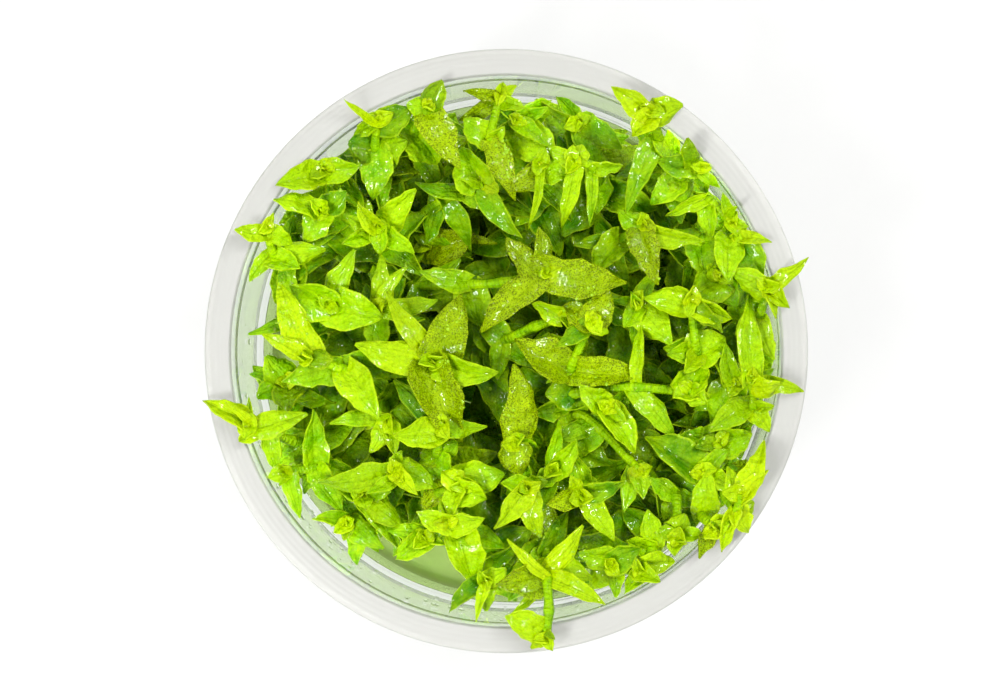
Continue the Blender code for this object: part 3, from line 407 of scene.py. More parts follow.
# Each shoot: the points of its stem as seen from above, (x, y) in the plane of the rim with
# its true height, then its leaves: stem point it grows from, tip seen at (x, y), its height, width
SHOOTS = (
    # Upper left
    (((-20, 29, 36), (-21.5, 33.5, 45), (-21, 38.3, 48)),
     ((2, -26.3, 43.3, 50.5, 1.3), (2, -16, 41.2, 49, 4), (2, -25.4, 36.7, 46, 2.2),
      (1, -16.3, 34.8, 47.5, 5), (1, -26, 34.5, 46.5, 4.5), (1, -27.6, 32.4, 45, 1.6),
      (1, -22, 25.3, 44.5, 4.6))),
    (((-27, 26, 38), (-30, 30, 48.5)),
     ((1, -37.9, 27.4, 49.5, 3.6), (1, -24.3, 30.6, 49, 3.6), (1, -26, 25.8, 44.5, 4))),
    (((-28.5, 20, 37), (-30.5, 23.2, 48)),
     ((1, -38.2, 24.8, 48.5, 3.2), (1, -26.2, 26.4, 49, 3.2), (1, -33.2, 18.2, 47, 3.8))),
    (((-35, 14, 38), (-38.3, 16, 46.5), (-39.5, 20.2, 50.3)),
     ((2, -44.7, 19.9, 51.4, 2.6), (2, -35.7, 18, 48.5, 2.6), (2, -38.4, 22.9, 52.5, 0.9),
      (2, -41.3, 18.5, 51, 1.6), (1, -30.2, 16.9, 49, 3.2), (1, -32.8, 14.2, 47, 3.8),
      (1, -42.2, 11.8, 46, 2.2), (1, -35.5, 11.3, 44.5, 3.6))),
    (((-19.5, 16, 37), (-21.2, 20.6, 48.5)),
     ((1, -14.8, 26.9, 50, 3.8), (1, -26.3, 22.4, 50, 2.6), (1, -27.1, 17.9, 49, 2.6),
      (1, -15.2, 16.4, 49, 3), (1, -20.6, 16, 46, 2.6), (1, -24, 25, 47.5, 2.8))),
    # Top
    (((-14, 31.5, 35), (-15, 36, 44), (-12.6, 40.2, 49)),
     ((2, -10.2, 44.7, 51.5, 3.4), (2, -7.6, 30.2, 49.5, 4.4), (2, -16.2, 41, 49, 2.6),
      (2, -6.6, 36.7, 46, 1.5), (1, -11.3, 31, 44, 5), (1, -19, 37.4, 44, 3.6))),
    (((-2.4, 27, 36), (-2.4, 35, 48), (-0.8, 42.2, 48.8)),
     ((2, -6.9, 43.1, 50, 1.7), (2, 3.3, 40.2, 50, 2.2), (2, 1.9, 43.8, 50, 1.5),
      (2, -7.5, 38.7, 47.5, 2.2), (1, 1.6, 25.1, 49.5, 3.4), (1, -6.8, 38.4, 48.5, 3.6),
      (1, -5.1, 36.6, 50, 2), (1, -0.4, 37.4, 51, 2))),
    (((-15.4, 18.2, 34), (-13.3, 22.7, 39.5), (-9.8, 25.2, 42), (-3.4, 27.6, 44.5)),
     ((3, 2.9, 18.7, 45, 3.2), (3, -7.4, 28.4, 47, 1), (3, -7, 33.6, 45, 5), (2, -5.7, 16.5, 38.5, 3),
      (2, -12, 27, 45, 2.4))),
    (((5.5, 25, 36), (5.9, 30.6, 48.5)),
     ((1, 0.5, 26.6, 49, 3), (1, 11, 29, 49.5, 3.8), (1, 3.8, 18.9, 46, 1.5))),
    (((2.6, 34, 36), (2, 38, 46)),
     ((1, 9.4, 30.8, 48, 5.4), (1, 7.4, 33.5, 45.5, 2.6), (1, 7.6, 41.5, 44, 2.6))),
    (((15.5, 27, 37), (14.8, 30.3, 47.5), (11.4, 31.4, 49.5)),
     ((2, 9.2, 20.6, 47.5, 2.2), (2, 7.2, 33.5, 49, 2.2), (2, 12.8, 34, 50, 2.4), (1, 14.1, 20.5, 47, 1.6),
      (1, 19.4, 30.8, 48, 2.2), (1, 16.6, 23.4, 46, 1.4))),
    (((12.5, 34, 34), (12.2, 37.6, 43.5)),
     ((1, 14.9, 30.9, 44, 3.8), (1, 19.3, 33.4, 44.5, 3.6), (1, 5.5, 41.8, 44.5, 1.2))),
    (((-12, 14, 28), (-13.3, 17.4, 35)),
     ((1, -5, 19, 38.5, 5), (1, -0.3, 15.8, 38, 2.4), (1, -17.8, 13.6, 36, 3))),
    # Upper right
    (((24.5, 31, 36), (25.4, 35, 46.5), (24.8, 37, 50), (24, 39.4, 52.5)),
     ((3, 17.6, 43.7, 53.5, 3.2), (3, 29.2, 40.7, 53.5, 3.6), (3, 21.3, 35.6, 52.5, 3.2),
      (1, 31.6, 31.9, 46.5, 4.4), (1, 20, 22.8, 48, 3.2))),
    (((29.5, 25, 36), (29, 28.6, 45.5), (32.4, 30.2, 48.5)),
     ((2, 25.1, 31.6, 49, 3), (2, 31.1, 36.2, 51.5, 2.6), (2, 35.5, 27, 48, 1.4), (2, 33.4, 26.4, 47.5, 2),
      (1, 24.3, 24.2, 46, 3.6), (1, 30.4, 24.3, 45, 3.8))),
    (((34, 20, 37), (33.6, 24.8, 46.5), (37.4, 21.4, 48)),
     ((2, 36, 26.1, 50, 1.6), (2, 38.3, 23.6, 50.5, 1), (2, 40.2, 20.4, 49.5, 1.4),
      (1, 34.2, 18.2, 47, 2.6), (1, 26.5, 22.3, 46.5, 2))),
    (((16.5, 15.5, 36), (19.3, 18.3, 44.5), (22.8, 20.8, 48.5)),
     ((2, 33, 18.3, 49, 2.8), (2, 25.3, 11, 48.5, 3.6), (2, 18.9, 23, 48.5, 2.6), (1, 15, 12.6, 46.5, 4),
      (1, 22.7, 13.2, 44, 1.4))),
    (((32, 14, 36), (32.6, 18.4, 44.5), (38, 18.6, 47.5)),
     ((2, 43.4, 12.6, 49.5, 4.8), (2, 36.8, 11.3, 48, 4), (2, 44, 18.4, 50.5, 2),
      (1, 33.4, 12.2, 45.5, 4.2), (1, 28.2, 19, 45, 2))),
    # Left
    (((-24, -4, 36), (-26.6, -3.1, 47.5), (-32.7, -1, 50)),
     ((2, -37.8, 11.3, 51.5, 4.6), (2, -40, 4.4, 50.5, 2.4), (2, -28.5, -1.4, 51.5, 2.4),
      (1, -36.9, -5.2, 48.5, 4.2), (1, -20.9, -11.2, 50, 4.6), (1, -16.4, -4.2, 47, 3.6))),
    (((-20, -8, 36), (-19.6, -11.6, 47.5)),
     ((1, -18.4, -17.3, 49, 2.8), (1, -29.1, -12, 49, 2.2), (1, -22, -16.8, 46, 2.4))),
    (((-10.5, -5.5, 36), (-11.8, -1.9, 50.5)),
     ((1, -24.9, 1.1, 52.5, 4.4), (1, -1.3, -3.6, 52, 4), (1, -19.9, 9.9, 52.5, 2.8), (1, -7.2, -15, 48, 6),
      (1, -7.3, 9.2, 48, 5.4))),
    (((-27.5, 3.5, 36), (-29.3, 7.7, 47.5)),
     ((1, -20.4, 5.6, 49.5, 5.4), (1, -25, 16.7, 49.5, 3.2), (1, -42.5, 2.6, 49, 2.2),
      (1, -35.3, 11, 46, 4.8))),
    (((-20, 3, 36), (-21.2, 7, 46.5)),
     ((1, -20.7, 15.8, 49.5, 2.6), (1, -11.2, 8.4, 49, 3), (1, -16.2, 13.9, 49, 1.6))),
    (((-33, -9, 35), (-36.2, -5.2, 44)),
     ((1, -39.7, -1, 46, 4), (1, -41.2, -7.8, 45.5, 3.4), (1, -36, -10.2, 45, 4.4),
      (1, -31, -8.8, 44, 4.4))),
    (((-30, -15.6, 40), (-35, -15, 45), (-38.8, -13.7, 48.5), (-42.2, -12.5, 51)),
     ((3, -50.4, -8.4, 52.5, 3), (3, -46.3, -8.6, 53, 1.1), (3, -44.2, -15.1, 51.5, 3),
      (3, -33, -10.7, 51, 3.4), (3, -42.5, -7.8, 52, 1.3), (2, -37.9, -20, 46, 2.6),
      (2, -36, -12.8, 49.5, 2))),
    (((-27.5, -18.4, 38), (-31.6, -19.4, 44), (-36.4, -20, 47)),
     ((2, -34, -27.8, 46.5, 2.2), (2, -38.5, -20.9, 47.5, 1.5), (2, -37, -22.4, 46, 1.3),
      (1, -31.8, -9.7, 48, 3.4), (1, -27, -26.8, 45, 3.2), (1, -33.1, -23.7, 45, 2))),
    # Middle
    (((-16, 10.4, 38), (-11, 10.9, 44), (-5.8, 11, 47), (-0.6, 11.3, 49.5), (6.6, 12.8, 52.5)),
     ((4, 0.3, 18.6, 54, 3.6), (4, 20, 11.4, 53, 5.4), (4, -3.9, 3.4, 51.5, 4), (4, 5.6, 20.4, 52, 3),
      (4, 14.9, 14.2, 55, 3), (2, -14, 13.2, 49.5, 3), (2, -3.7, 4, 46, 4.6))),
    (((9.2, -7.5, 36), (10.8, -3.2, 46), (14.3, 4.8, 50.5)),
     ((2, 17.2, 10, 50, 4), (2, 8.8, 0.8, 50.5, 2.6), (2, 10.2, 7.6, 48.5, 3.6), (2, 17, 3, 50, 1.8),
      (1, 1.6, 1.8, 48.5, 5), (1, 22.4, -3.7, 48, 4.6), (1, 7, -5.3, 46, 1))),
    (((-3.5, -0.6, 38), (0, 1.6, 43), (5, 4, 46), (10, 5.7, 47)),
     ((3, 11.6, 9.6, 46, 3), (3, 4.7, 8, 48, 3), (1, -4.6, 4.3, 43, 3.6), (1, 5.7, -2.8, 43.5, 3.6),
      (1, -1.2, -4.6, 42, 2.6))),
    (((4, -18.2, 38), (1.9, -15, 47)),
     ((1, 1.5, -2.3, 49.5, 4.4), (1, 2.5, -20.7, 46, 3.8), (1, 4.9, -18.9, 45, 2.6))),
    (((-11.6, -20.5, 36), (-11.3, -17.3, 45), (-10.2, -12.4, 50)),
     ((2, -18.6, -5, 51.5, 3.2), (2, -2.8, -12.5, 51, 2.6), (2, -18.4, -14, 50.5, 4.4),
      (2, -9, -14.8, 51, 1.8), (1, -14.2, -18.6, 46, 2.8), (1, -8, -15, 46.5, 2.8),
      (1, -8.4, -20.6, 46.5, 4))),
    (((8.5, -9.3, 38), (11.2, -7.2, 44.5), (16, -6.3, 45.5), (21.6, -6, 46.5), (30.8, -6.8, 48)),
     ((4, 27.7, -7.9, 49.5, 2.8), (4, 33.3, -8.6, 49, 2.8), (4, 32.6, -1.8, 47, 4),
      (3, 28.1, -14.9, 46.5, 3.2), (3, 22.5, 4.8, 48.5, 1.8), (1, 6.8, -7.3, 45, 4))),
    (((9.5, -11.2, 38), (12.5, -10.6, 42.5), (16, -13, 44.5), (22, -19.6, 46.5)),
     ((3, 19.7, -26.6, 47, 2.2), (3, 22.9, -24.4, 45.5, 2.8), (3, 26, -22.5, 46, 2),
      (2, 10.8, -17.9, 42, 3))),
    (((17, -12.2, 37), (16.9, -9.3, 47)),
     ((1, 21.4, -17, 47.5, 3.6), (1, 12.4, -5.6, 48.5, 3.2), (1, 20, -11.5, 46, 2.4))),
    (((8.6, -23.4, 36), (7.8, -20, 46.5)),
     ((1, 11.9, -14.6, 48.5, 3), (1, 8.9, -11.5, 47, 2.2), (1, 17.4, -13.9, 46.5, 4.8),
      (1, 5, -22, 46.5, 2.6))),
    # Right
    (((32, 3, 36), (31.7, -0.4, 46.5), (30.8, 7.8, 49)),
     ((2, 23.2, 8.7, 49.5, 3.6), (2, 37.5, 5.3, 48.5, 3.2), (2, 35.9, 3.2, 50, 2.6), (1, 26.8, -0.7, 49, 3),
      (1, 36.3, 2, 46.5, 4.8), (1, 29.3, -4, 46, 3))),
    (((36, 9, 37), (35.7, 12.4, 46)),
     ((1, 31, 8.8, 47.5, 5.2), (1, 33.4, 14.2, 47.5, 2.6), (1, 38.2, 7.4, 46.5, 3.8))),
    (((40, 4, 39), (42, 5.8, 46.5), (43.4, 10.4, 50.5)),
     ((2, 50, 15.4, 54, 2.2), (2, 37.4, 13.3, 51, 3.6), (2, 46.9, 7.1, 51.5, 2.4), (2, 44.4, 5.3, 51, 1.8),
      (2, 40.3, 9, 49, 3.4), (1, 44.5, -1.5, 48.5, 2.6), (1, 38.2, 2.5, 46.5, 2.2))),
    (((38.5, -12.5, 37), (41, -9.3, 46.5), (40.8, -5, 49.7)),
     ((2, 40.3, 9.4, 49.5, 3.4), (2, 49.1, -6.7, 52, 2.4), (2, 45.2, -5, 51, 3),
      (1, 33.9, -13.3, 49.5, 3.2), (1, 44.5, -9.1, 50.5, 2), (1, 43.6, -13.3, 47.5, 2.6))),
    (((20.6, 4, 36), (22, 7.7, 46.5)),
     ((1, 27.5, 1, 47, 4), (1, 20.8, 9.8, 48.5, 1.4), (1, 19.8, 3.8, 45, 3), (1, 17.2, 8.4, 47, 1.2))),
    (((36.6, -9.5, 35), (38.2, -5.4, 45)),
     ((1, 34.2, -1.5, 46.5, 3.2), (1, 34.3, -12, 44, 4.8), (1, 36.3, 1.3, 46, 2.6))),
    (((35.5, -18.5, 36), (35.2, -15, 45.5)),
     ((1, 29.9, -13.5, 46.5, 4.8), (1, 31, -16.2, 44.5, 2.4), (1, 40.7, -13.7, 46, 4.2))),
    (((32, -23.5, 37), (32.8, -20, 48)),
     ((1, 23.2, -14.3, 49.5, 5), (1, 38.4, -23, 46, 3), (1, 36.8, -16.4, 47, 2.6))),
    (((35, -22, 36), (35.6, -22.9, 48), (38.2, -26.2, 52.6), (38.8, -23.6, 53.4)),
     ((3, 42.9, -14.9, 53, 3.2), (3, 43.4, -19.6, 53, 2.4), (3, 36.9, -19, 51, 2.2),
      (2, 41, -25, 52.5, 2.8), (2, 40, -30, 52, 3.2), (2, 35.8, -32.9, 52, 2.2),
      (1, 36.1, -20.5, 49, 2.6))),
    (((33, -24, 37), (32.6, -27.2, 47), (33.6, -28.1, 50), (34.8, -29.2, 52)),
     ((3, 32.2, -34.2, 52, 2.2), (3, 34.2, -32.1, 52.5, 1.6), (3, 37.9, -28, 52.5, 2.4),
      (1, 33.5, -19.6, 49.5, 3.6))),
    (((27.5, -20, 36), (28.3, -23.8, 45.5), (28.3, -31, 48.5)),
     ((2, 29.8, -27, 49.5, 3.2), (2, 33, -30.9, 49.5, 2.2), (2, 25.6, -29.3, 49, 2),
      (1, 23.8, -20.8, 47.5, 2.6), (1, 26.2, -27.8, 46, 3), (1, 31.2, -25.6, 45, 2.4))),
    (((24, -28, 36), (24.4, -32.6, 47), (22.5, -35.8, 48.5)),
     ((2, 27.9, -34.7, 48, 3), (2, 25.7, -37.9, 48.5, 2.8), (2, 20, -40, 47.5, 2.4),
      (1, 23.7, -26.2, 49.5, 3.4), (1, 20, -31.3, 48.5, 2.8))),
    # Bottom
    (((-17, -23, 36), (-18, -19.7, 49)),
     ((1, -32.1, -21.7, 49.5, 3.6), (1, -11.4, -22.6, 48.5, 3.4), (1, -22.7, -23.6, 48, 2),
      (1, -13.6, -24.1, 47, 2.4), (1, -17, -16.6, 50, 1.8))),
    (((-21, -20.5, 36), (-23.6, -24, 47)),
     ((1, -17.1, -29.3, 48.5, 3.4), (1, -17.7, -33.1, 46, 3), (1, -18.6, -23, 46, 2.8),
      (1, -27.5, -23, 46.5, 2.6))),
    (((-22.5, -25.5, 35), (-25.9, -28.4, 44)),
     ((1, -31.9, -28, 45.5, 2.2), (1, -20.3, -32.5, 45.5, 3.2), (1, -26.5, -31.5, 44.5, 1.8))),
    (((-9.5, -25, 36), (-7.2, -30.4, 47.5), (-9.2, -28.5, 50.5)),
     ((2, -14.6, -26.6, 52, 3), (2, -3.4, -27.7, 52, 3.2), (2, -10.5, -24.6, 50, 2.4),
      (1, -5.9, -38.7, 47, 4.8), (1, -0.3, -32.8, 46.5, 3.2), (1, -2.6, -34.9, 45.5, 1.6))),
    (((-12.6, -27, 36), (-13.2, -30.8, 47)),
     ((1, -17.1, -35.5, 47, 3.2), (1, -19.4, -29.8, 46, 2.2), (1, -10, -32.3, 47.5, 1.8))),
    (((-10, -20.8, 35), (-11, -23.5, 45.5), (-7, -22.3, 49)),
     ((2, -10.4, -20.2, 50, 3.2), (2, -3.1, -24.4, 49.5, 3.8), (2, -0.1, -20.4, 48, 4.8),
      (2, -8.9, -27.6, 49, 2.8), (2, -1.8, -27.6, 47, 1.8), (1, -13.5, -26.1, 45.5, 2.4),
      (1, -11.4, -21.2, 47, 2))),
    (((3.8, -19.2, 36), (3.8, -22.5, 49.5)),
     ((1, -0.6, -21.9, 50.5, 2.6), (1, 5.8, -30.7, 49, 3.4), (1, -1.7, -29, 47, 3.2),
      (1, 7, -21.6, 49, 2.2))),
    (((13.6, -20, 36), (12.8, -24, 50)),
     ((1, 6.9, -25.5, 50.5, 2.8), (1, 19.7, -21.3, 50.5, 3), (1, 11, -20.6, 52.5, 1.8),
      (1, 18.1, -31.3, 48, 3.4))),
    (((7, -32.5, 38), (7, -37.2, 50), (7.3, -42.8, 52), (6.8, -47.2, 52.6)),
     ((3, 0.2, -43.9, 53, 3.8), (3, 4.5, -49.2, 53, 1.4), (3, 8.2, -47.6, 53.4, 1),
      (1, 12.8, -28.9, 52, 2.6), (1, -1.5, -38.7, 50.5, 4.6), (1, 0.7, -31.1, 49.5, 1.3),
      (1, 14.4, -37.6, 51, 3.8), (1, 16.7, -41.6, 49, 2.8), (1, 1, -43.7, 49, 1.8))),
    (((-2.4, -34, 37), (-3.2, -37.8, 49)),
     ((1, -10.2, -41.9, 50, 2.4), (1, -3.1, -43, 49, 2.8), (1, -4.7, -44.8, 51, 1.4),
      (1, 0.2, -36, 49.5, 2.4))),
    (((17, -31, 37), (17.5, -35.2, 49)),
     ((1, 12.2, -33.2, 49.5, 3.4), (1, 22.2, -32.4, 50, 3.6), (1, 14.3, -39.3, 48.5, 3.4),
      (1, 18.4, -40.5, 48, 2.4))),
)


def seen_at(x, y, height):
    """The true place of what the eye sees at (x, y) in the plane of the rim."""
    share = (EYE.z - height) / (EYE.z - CUP_HEIGHT)
    return Vector((EYE.x + (x - EYE.x) * share, EYE.y + (y - EYE.y) * share, height))


# Growth: every stem is placed first, then each leaf where it clears all that stands already
def segment_gap(a, b, c, d):
    """The least distance between the segments a-b and c-d."""
    ab, cd, ac = b - a, d - c, c - a
    aa, bb, ab_cd = ab.dot(ab), cd.dot(cd), ab.dot(cd)
    spread = aa * bb - ab_cd * ab_cd
    s = 0.0
    if spread > 1e-9:
        s = min(1.0, max(0.0, (ab.dot(ac) * bb - cd.dot(ac) * ab_cd) / spread))
    t = min(1.0, max(0.0, (ab_cd * s - cd.dot(ac)) / bb))
    s = min(1.0, max(0.0, (ab_cd * t + ab.dot(ac)) / aa))
    return (a + ab * s - c - cd * t).length


def route_gap(route, others):
    """The least distance between a stem's route and the routes that stand already."""
    return min((segment_gap(a, b, c, d) for other in others
                for a, b in zip(route, route[1:]) for c, d in zip(other, other[1:])), default=99.0)


def place_stems():
    """Each stem's points, from a foot on the gel that clears its neighbours, up through those seen."""
    routes = []
    enough = 2 * STEM_RADIUS + 2 * GAP
    for seen, _ in SHOOTS:
        upper = [seen_at(*point) for point in seen]
        wish = upper[0].xy * min(1.0, FOOT_WISH / upper[0].xy.length)
        best, best_gap = None, -1.0
        for step in range(FOOT_PLACES):
            ring, turn = (step + 7) // 8, step % 8
            angle = turn * math.pi / 4 + ring * 0.4
            shift = Vector((math.cos(angle), math.sin(angle))) * ring * FOOT_STEP
            foot = wish + shift
            if foot.length > FOOT_LIMIT:
                continue
            low = Vector((*foot, GEL_HEIGHT + GAP))
            hidden = upper[0] + Vector((*(shift * 0.6), 0.0))
            route = [low, hidden] + upper[1:]
            gap = route_gap(route, routes)
            if gap > best_gap + 0.05:
                best, best_gap = route, gap
            if best_gap > enough:
                break
        routes.append(best)
    return routes


class Stem:
    """A stem's rings of four corners, and the side faces of its nodes that leaves grow from."""

    def __init__(self, route, leaves):
        self.route = route
        self.rings = []
        self.faces = []
        last = len(route) - 1
        counts = [0] * len(route)
        for point, *_ in leaves:
            counts[point + 1] += 1
        counts[1] = max(counts[1], OLD_LEAVES)
        widest = max(leaves, key=lambda leaf: leaf[4])
        along = [(b - a).normalized() for a, b in zip(route, route[1:])]
        out = seen_at(*widest[1:4]) - route[widest[0] + 1]
        across = (out - along[-1] * out.dot(along[-1])).normalized()
        sides = [across]
        for lower, upper in zip(reversed(along[:-1]), reversed(along[1:])):
            across = upper.rotation_difference(lower) @ across
            sides.insert(0, (across - lower * across.dot(lower)).normalized())
        for index, point in enumerate(route):
            before = along[max(index - 1, 0)]
            after = along[min(index, last - 1)]
            tangent = (before + after).normalized()
            side = sides[min(index, last - 1)] if index else sides[0]
            side = (side - tangent * side.dot(tangent)).normalized()
            share = index / last
            radius = STEM_RADIUS + (STEM_TOP_RADIUS - STEM_RADIUS) * share
            taken_by_cap = 1 if index == last else 0
            levels = max(math.ceil((counts[index] - taken_by_cap) / 4), taken_by_cap)
            start = -levels * NODE_LENGTH * (1.0 if index == last else 0.5)
            for level in range(levels + 1):
                offset = start + level * NODE_LENGTH
                if level:
                    self.faces.append((index, len(self.rings) - 1))
                self.rings.append(self.ring(point + tangent * offset, tangent, side, radius))
        self.free = [(node, ring, corner) for node, ring in self.faces for corner in range(4)]
        self.free.append((last, len(self.rings) - 1, CAP))

    def ring(self, centre, tangent, side, radius):
        other = tangent.cross(side)
        reach = radius / math.sqrt(2)
        return [centre + (side * x + other * y) * reach for x, y in ((1, -1), (1, 1), (-1, 1), (-1, -1))]

    def corners(self, place):
        """The four corners of a side face, or of the cap, counter-clockwise from outside."""
        _, ring, corner = place
        if corner == CAP:
            return list(self.rings[ring])
        low, high = self.rings[ring], self.rings[ring + 1]
        after = (corner + 1) % 4
        return [low[corner], low[after], high[after], high[corner]]

    def polygons(self):
        points = [corner for ring in self.rings for corner in ring]
        faces = [(3, 2, 1, 0), tuple(range(len(points) - 4, len(points)))]
        for low in range(len(self.rings) - 1):
            for corner in range(4):
                after = (corner + 1) % 4
                faces.append((low * 4 + corner, low * 4 + after, low * 4 + 4 + after, low * 4 + 4 + corner))
        return points, faces


def normal_of(corners):
    return (corners[1] - corners[0]).cross(corners[3] - corners[0]).normalized()


class Blade:
    """A leaf: rings of right edge, upper midrib, left edge and lower midrib, ending in a point."""

    def __init__(self, corners, tip, width, roll):
        self.base = corners
        root = sum(corners, Vector()) / 4
        chord = tip - root
        self.length = chord.length
        self.tip, self.width = tip, width
        flat = Vector((chord.x, chord.y, 0.0))
        if flat.length < STEEP * self.length:
            out = normal_of(corners)
            flat = flat + Vector((out.x, out.y, 0.0)) * self.length * 0.5
        level = Vector((0, 0, 1)).cross(flat).normalized()
        stations = BROAD_STATIONS if width >= BROAD_WIDTH and self.length > BROAD_LENGTH else NARROW_STATIONS
        self.sections = []
        for share, breadth in stations:
            centre = root + chord * share + Vector((0, 0, BOW * self.length * 4 * share * (1 - share)))
            along = (chord + Vector((0, 0, BOW * self.length * 4 * (1 - 2 * share)))).normalized()
            right = (level - along * level.dot(along)).normalized()
            right = Matrix.Rotation(roll, 3, along) @ right
            self.sections.append((centre, right, along.cross(right), width * breadth / 2))

    def rings(self, extra=0.0):
        rings = []
        for centre, right, up, half in self.sections:
            lift = up * half * FOLD
            rings.append([centre + right * (half + extra) + lift, centre + up * (BLADE_THICK / 2 + extra),
                          centre - right * (half + extra) + lift, centre - up * (BLADE_THICK / 2 + extra)])
        return rings

    def polygons(self, extra=0.0, start=0.0):
        """The blade's skin as points and faces, from a share of the way to its first ring."""
        rings = self.rings(extra)
        first = match_corners(self.base, rings[0])
        rings = [[ring[(index + first) % 4] for index in range(4)] for ring in rings]
        if start < 1.0:
            rings.insert(0, [a.lerp(b, start) for a, b in zip(self.base, rings[0])])
        reach = self.tip + (self.tip - self.sections[-1][0]).normalized() * extra
        points = [corner for ring in rings for corner in ring] + [reach]
        faces = []
        for low in range(len(rings) - 1):
            for corner in range(4):
                after = (corner + 1) % 4
                faces.append((low * 4 + corner, low * 4 + after, low * 4 + 4 + after, low * 4 + 4 + corner))
        base = len(points) - 5
        faces += [(base + corner, base + (corner + 1) % 4, len(points) - 1) for corner in range(4)]
        return points, faces


def match_corners(base, ring):
    """The turn of a ring's corners that twists least against the face it grows from."""
    centre = sum(base, Vector()) / 4
    middle = sum(ring, Vector()) / 4

    def twist(first):
        pairs = zip(base, ring[first:] + ring[:first])
        return sum(((a - centre).normalized() - (b - middle).normalized()).length for a, b in pairs)
    return min(range(4), key=twist)


def box_of(points):
    return [[choose(point[axis] for point in points) for axis in range(3)] for choose in (min, max)]


class Thicket:
    """What stands already, each with its owner, its kind, its box and its faces."""

    def __init__(self):
        self.solids = []
        self.low = np.empty((0, 3))
        self.high = np.empty((0, 3))

    def add(self, owner, kind, points, faces):
        low, high = box_of(points)
        self.solids.append((owner, kind, BVHTree.FromPolygons(points, faces)))
        self.low = np.vstack((self.low, low))
        self.high = np.vstack((self.high, high))

    def near(self, low, high):
        meets = np.all((self.low <= high) & (self.high >= low), axis=1)
        return [self.solids[index] for index in np.flatnonzero(meets)]


def clears(blade, owner, standing):
    points, faces = blade.polygons(GAP)
    low, high = box_of(points)
    if low[2] < GEL_HEIGHT + MENISCUS + 2 * GAP:
        return False
    if all(low[axis] <= FREE_FAR_CORNER[axis] and FREE_CORNER[axis] <= high[axis] for axis in range(3)):
        return False
    whole = BVHTree.FromPolygons(points, faces)
    outer = BVHTree.FromPolygons(*blade.polygons(GAP * 0.5, 1.0))
    inner = BVHTree.FromPolygons(*blade.polygons(0.0, 0.3))
    for other, kind, tree in standing.near(low, high):
        if other != owner:
            if whole.overlap(tree):
                return False
        elif outer.overlap(tree):
            return False
        elif kind == "leaf" and inner.overlap(tree):
            return False
    return True


def grow_leaf(stem, owner, point, tip, width, roll, standing, tries):
    """Puts a leaf on the free face that looks its way, moved a little until it clears."""
    node = point + 1
    faces = [place for place in stem.free if place[0] == node]
    if not faces:
        return None
    root = stem.route[node]
    out = tip - root
    for lift, turn, scale in tries:
        heading = Matrix.Rotation(math.radians(turn), 3, "Z") @ out * scale
        heading.z += lift
        goal = root + heading
        place = max(faces, key=lambda each: normal_of(stem.corners(each)).dot(heading))
        blade = Blade(stem.corners(place), goal, width * max(scale, 0.85), roll)
        if clears(blade, owner, standing):
            stem.free.remove(place)
            points, polygons = blade.polygons()
            standing.add(owner, "leaf", points, polygons)
            return place, blade
    return None


def grow_all():
    """Every stem and leaf of the solids, as (stem, leaves) in the order of the table."""
    chance = random.Random(SEED)
    stems = [Stem(route, leaves) for route, (_, leaves) in zip(place_stems(), SHOOTS)]
    standing = Thicket()
    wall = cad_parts["cup"].data
    wall_faces = [list(face.vertices) for face in wall.polygons]
    standing.add(-1, "cup", [vert.co / MM for vert in wall.vertices], wall_faces)
    for owner, stem in enumerate(stems):
        standing.add(owner, "stem", *stem.polygons())
    grown = [(stem, []) for stem in stems]
    for owner, (stem, leaves) in enumerate(grown):
        for point, x, y, height, width in SHOOTS[owner][1]:
            roll = math.radians(chance.uniform(-ROLL, ROLL))
            leaf = grow_leaf(stem, owner, point, seen_at(x, y, height), width, roll, standing, WANTED_TRIES)
            if leaf:
                leaves.append(leaf)
    for owner, (stem, leaves) in enumerate(grown):
        start = chance.uniform(0, 360)
        for turn in range(OLD_LEAVES):
            heading = math.radians(start + turn * 360 / OLD_LEAVES + chance.uniform(-OLD_TURN, OLD_TURN))
            length = chance.uniform(*OLD_LENGTH)
            flat = Vector((math.cos(heading), math.sin(heading), 0)) * length
            tip = stem.route[1] + flat + Vector((0, 0, chance.uniform(*OLD_RISE)))
            width = chance.uniform(*OLD_WIDTH)
            roll = math.radians(chance.uniform(-OLD_ROLL, OLD_ROLL))
            leaf = grow_leaf(stem, owner, 0, tip, width, roll, standing, OLD_TRIES)
            if leaf:
                leaves.append(leaf)
    return grown


# The finish of a leaf: a thin wet blade, lime green when young, darker and speckled when old.
# Faint veins run from base to tip beside a sunk midrib, the edge is pale with a painted highlight along it,
# and the skin is blistered.
# The sizes of patches, grain, specks, blisters and swells are in millimetres.
VEINS = 4.0
VEIN_WANDER = 0.5
PATCH = 3.2
GRAIN = 0.5
SPECK = 0.24
BLISTER = 0.7
SWELLING = 1.8

# The inputs of a Map Range node, in the order in which its four values are given
RANGE = ("From Min", "From Max", "To Min", "To Max")

leaf_skin, shader = new_material("living leaf", (
    ("Roughness", 0.4), ("IOR", 1.4), ("Specular IOR Level", 0.08), ("Subsurface Weight", 0.25),
    ("Subsurface Scale", 0.0012), ("Subsurface Radius", (0.7, 1.0, 0.05)), ("Coat Weight", 0.26),
    ("Coat Roughness", 0.07)))
tree = leaf_skin.node_tree
place = add_node(tree, "TexCoord").outputs["Object"]
age = add_node(tree, "Attribute", attribute_name="age").outputs["Fac"]
tint = add_node(tree, "Attribute", attribute_name="tint").outputs["Fac"]
blade_uv = add_node(tree, "SeparateXYZ", (), [
    ("Vector", add_node(tree, "UVMap", uv_map="blade").outputs["UV"])])

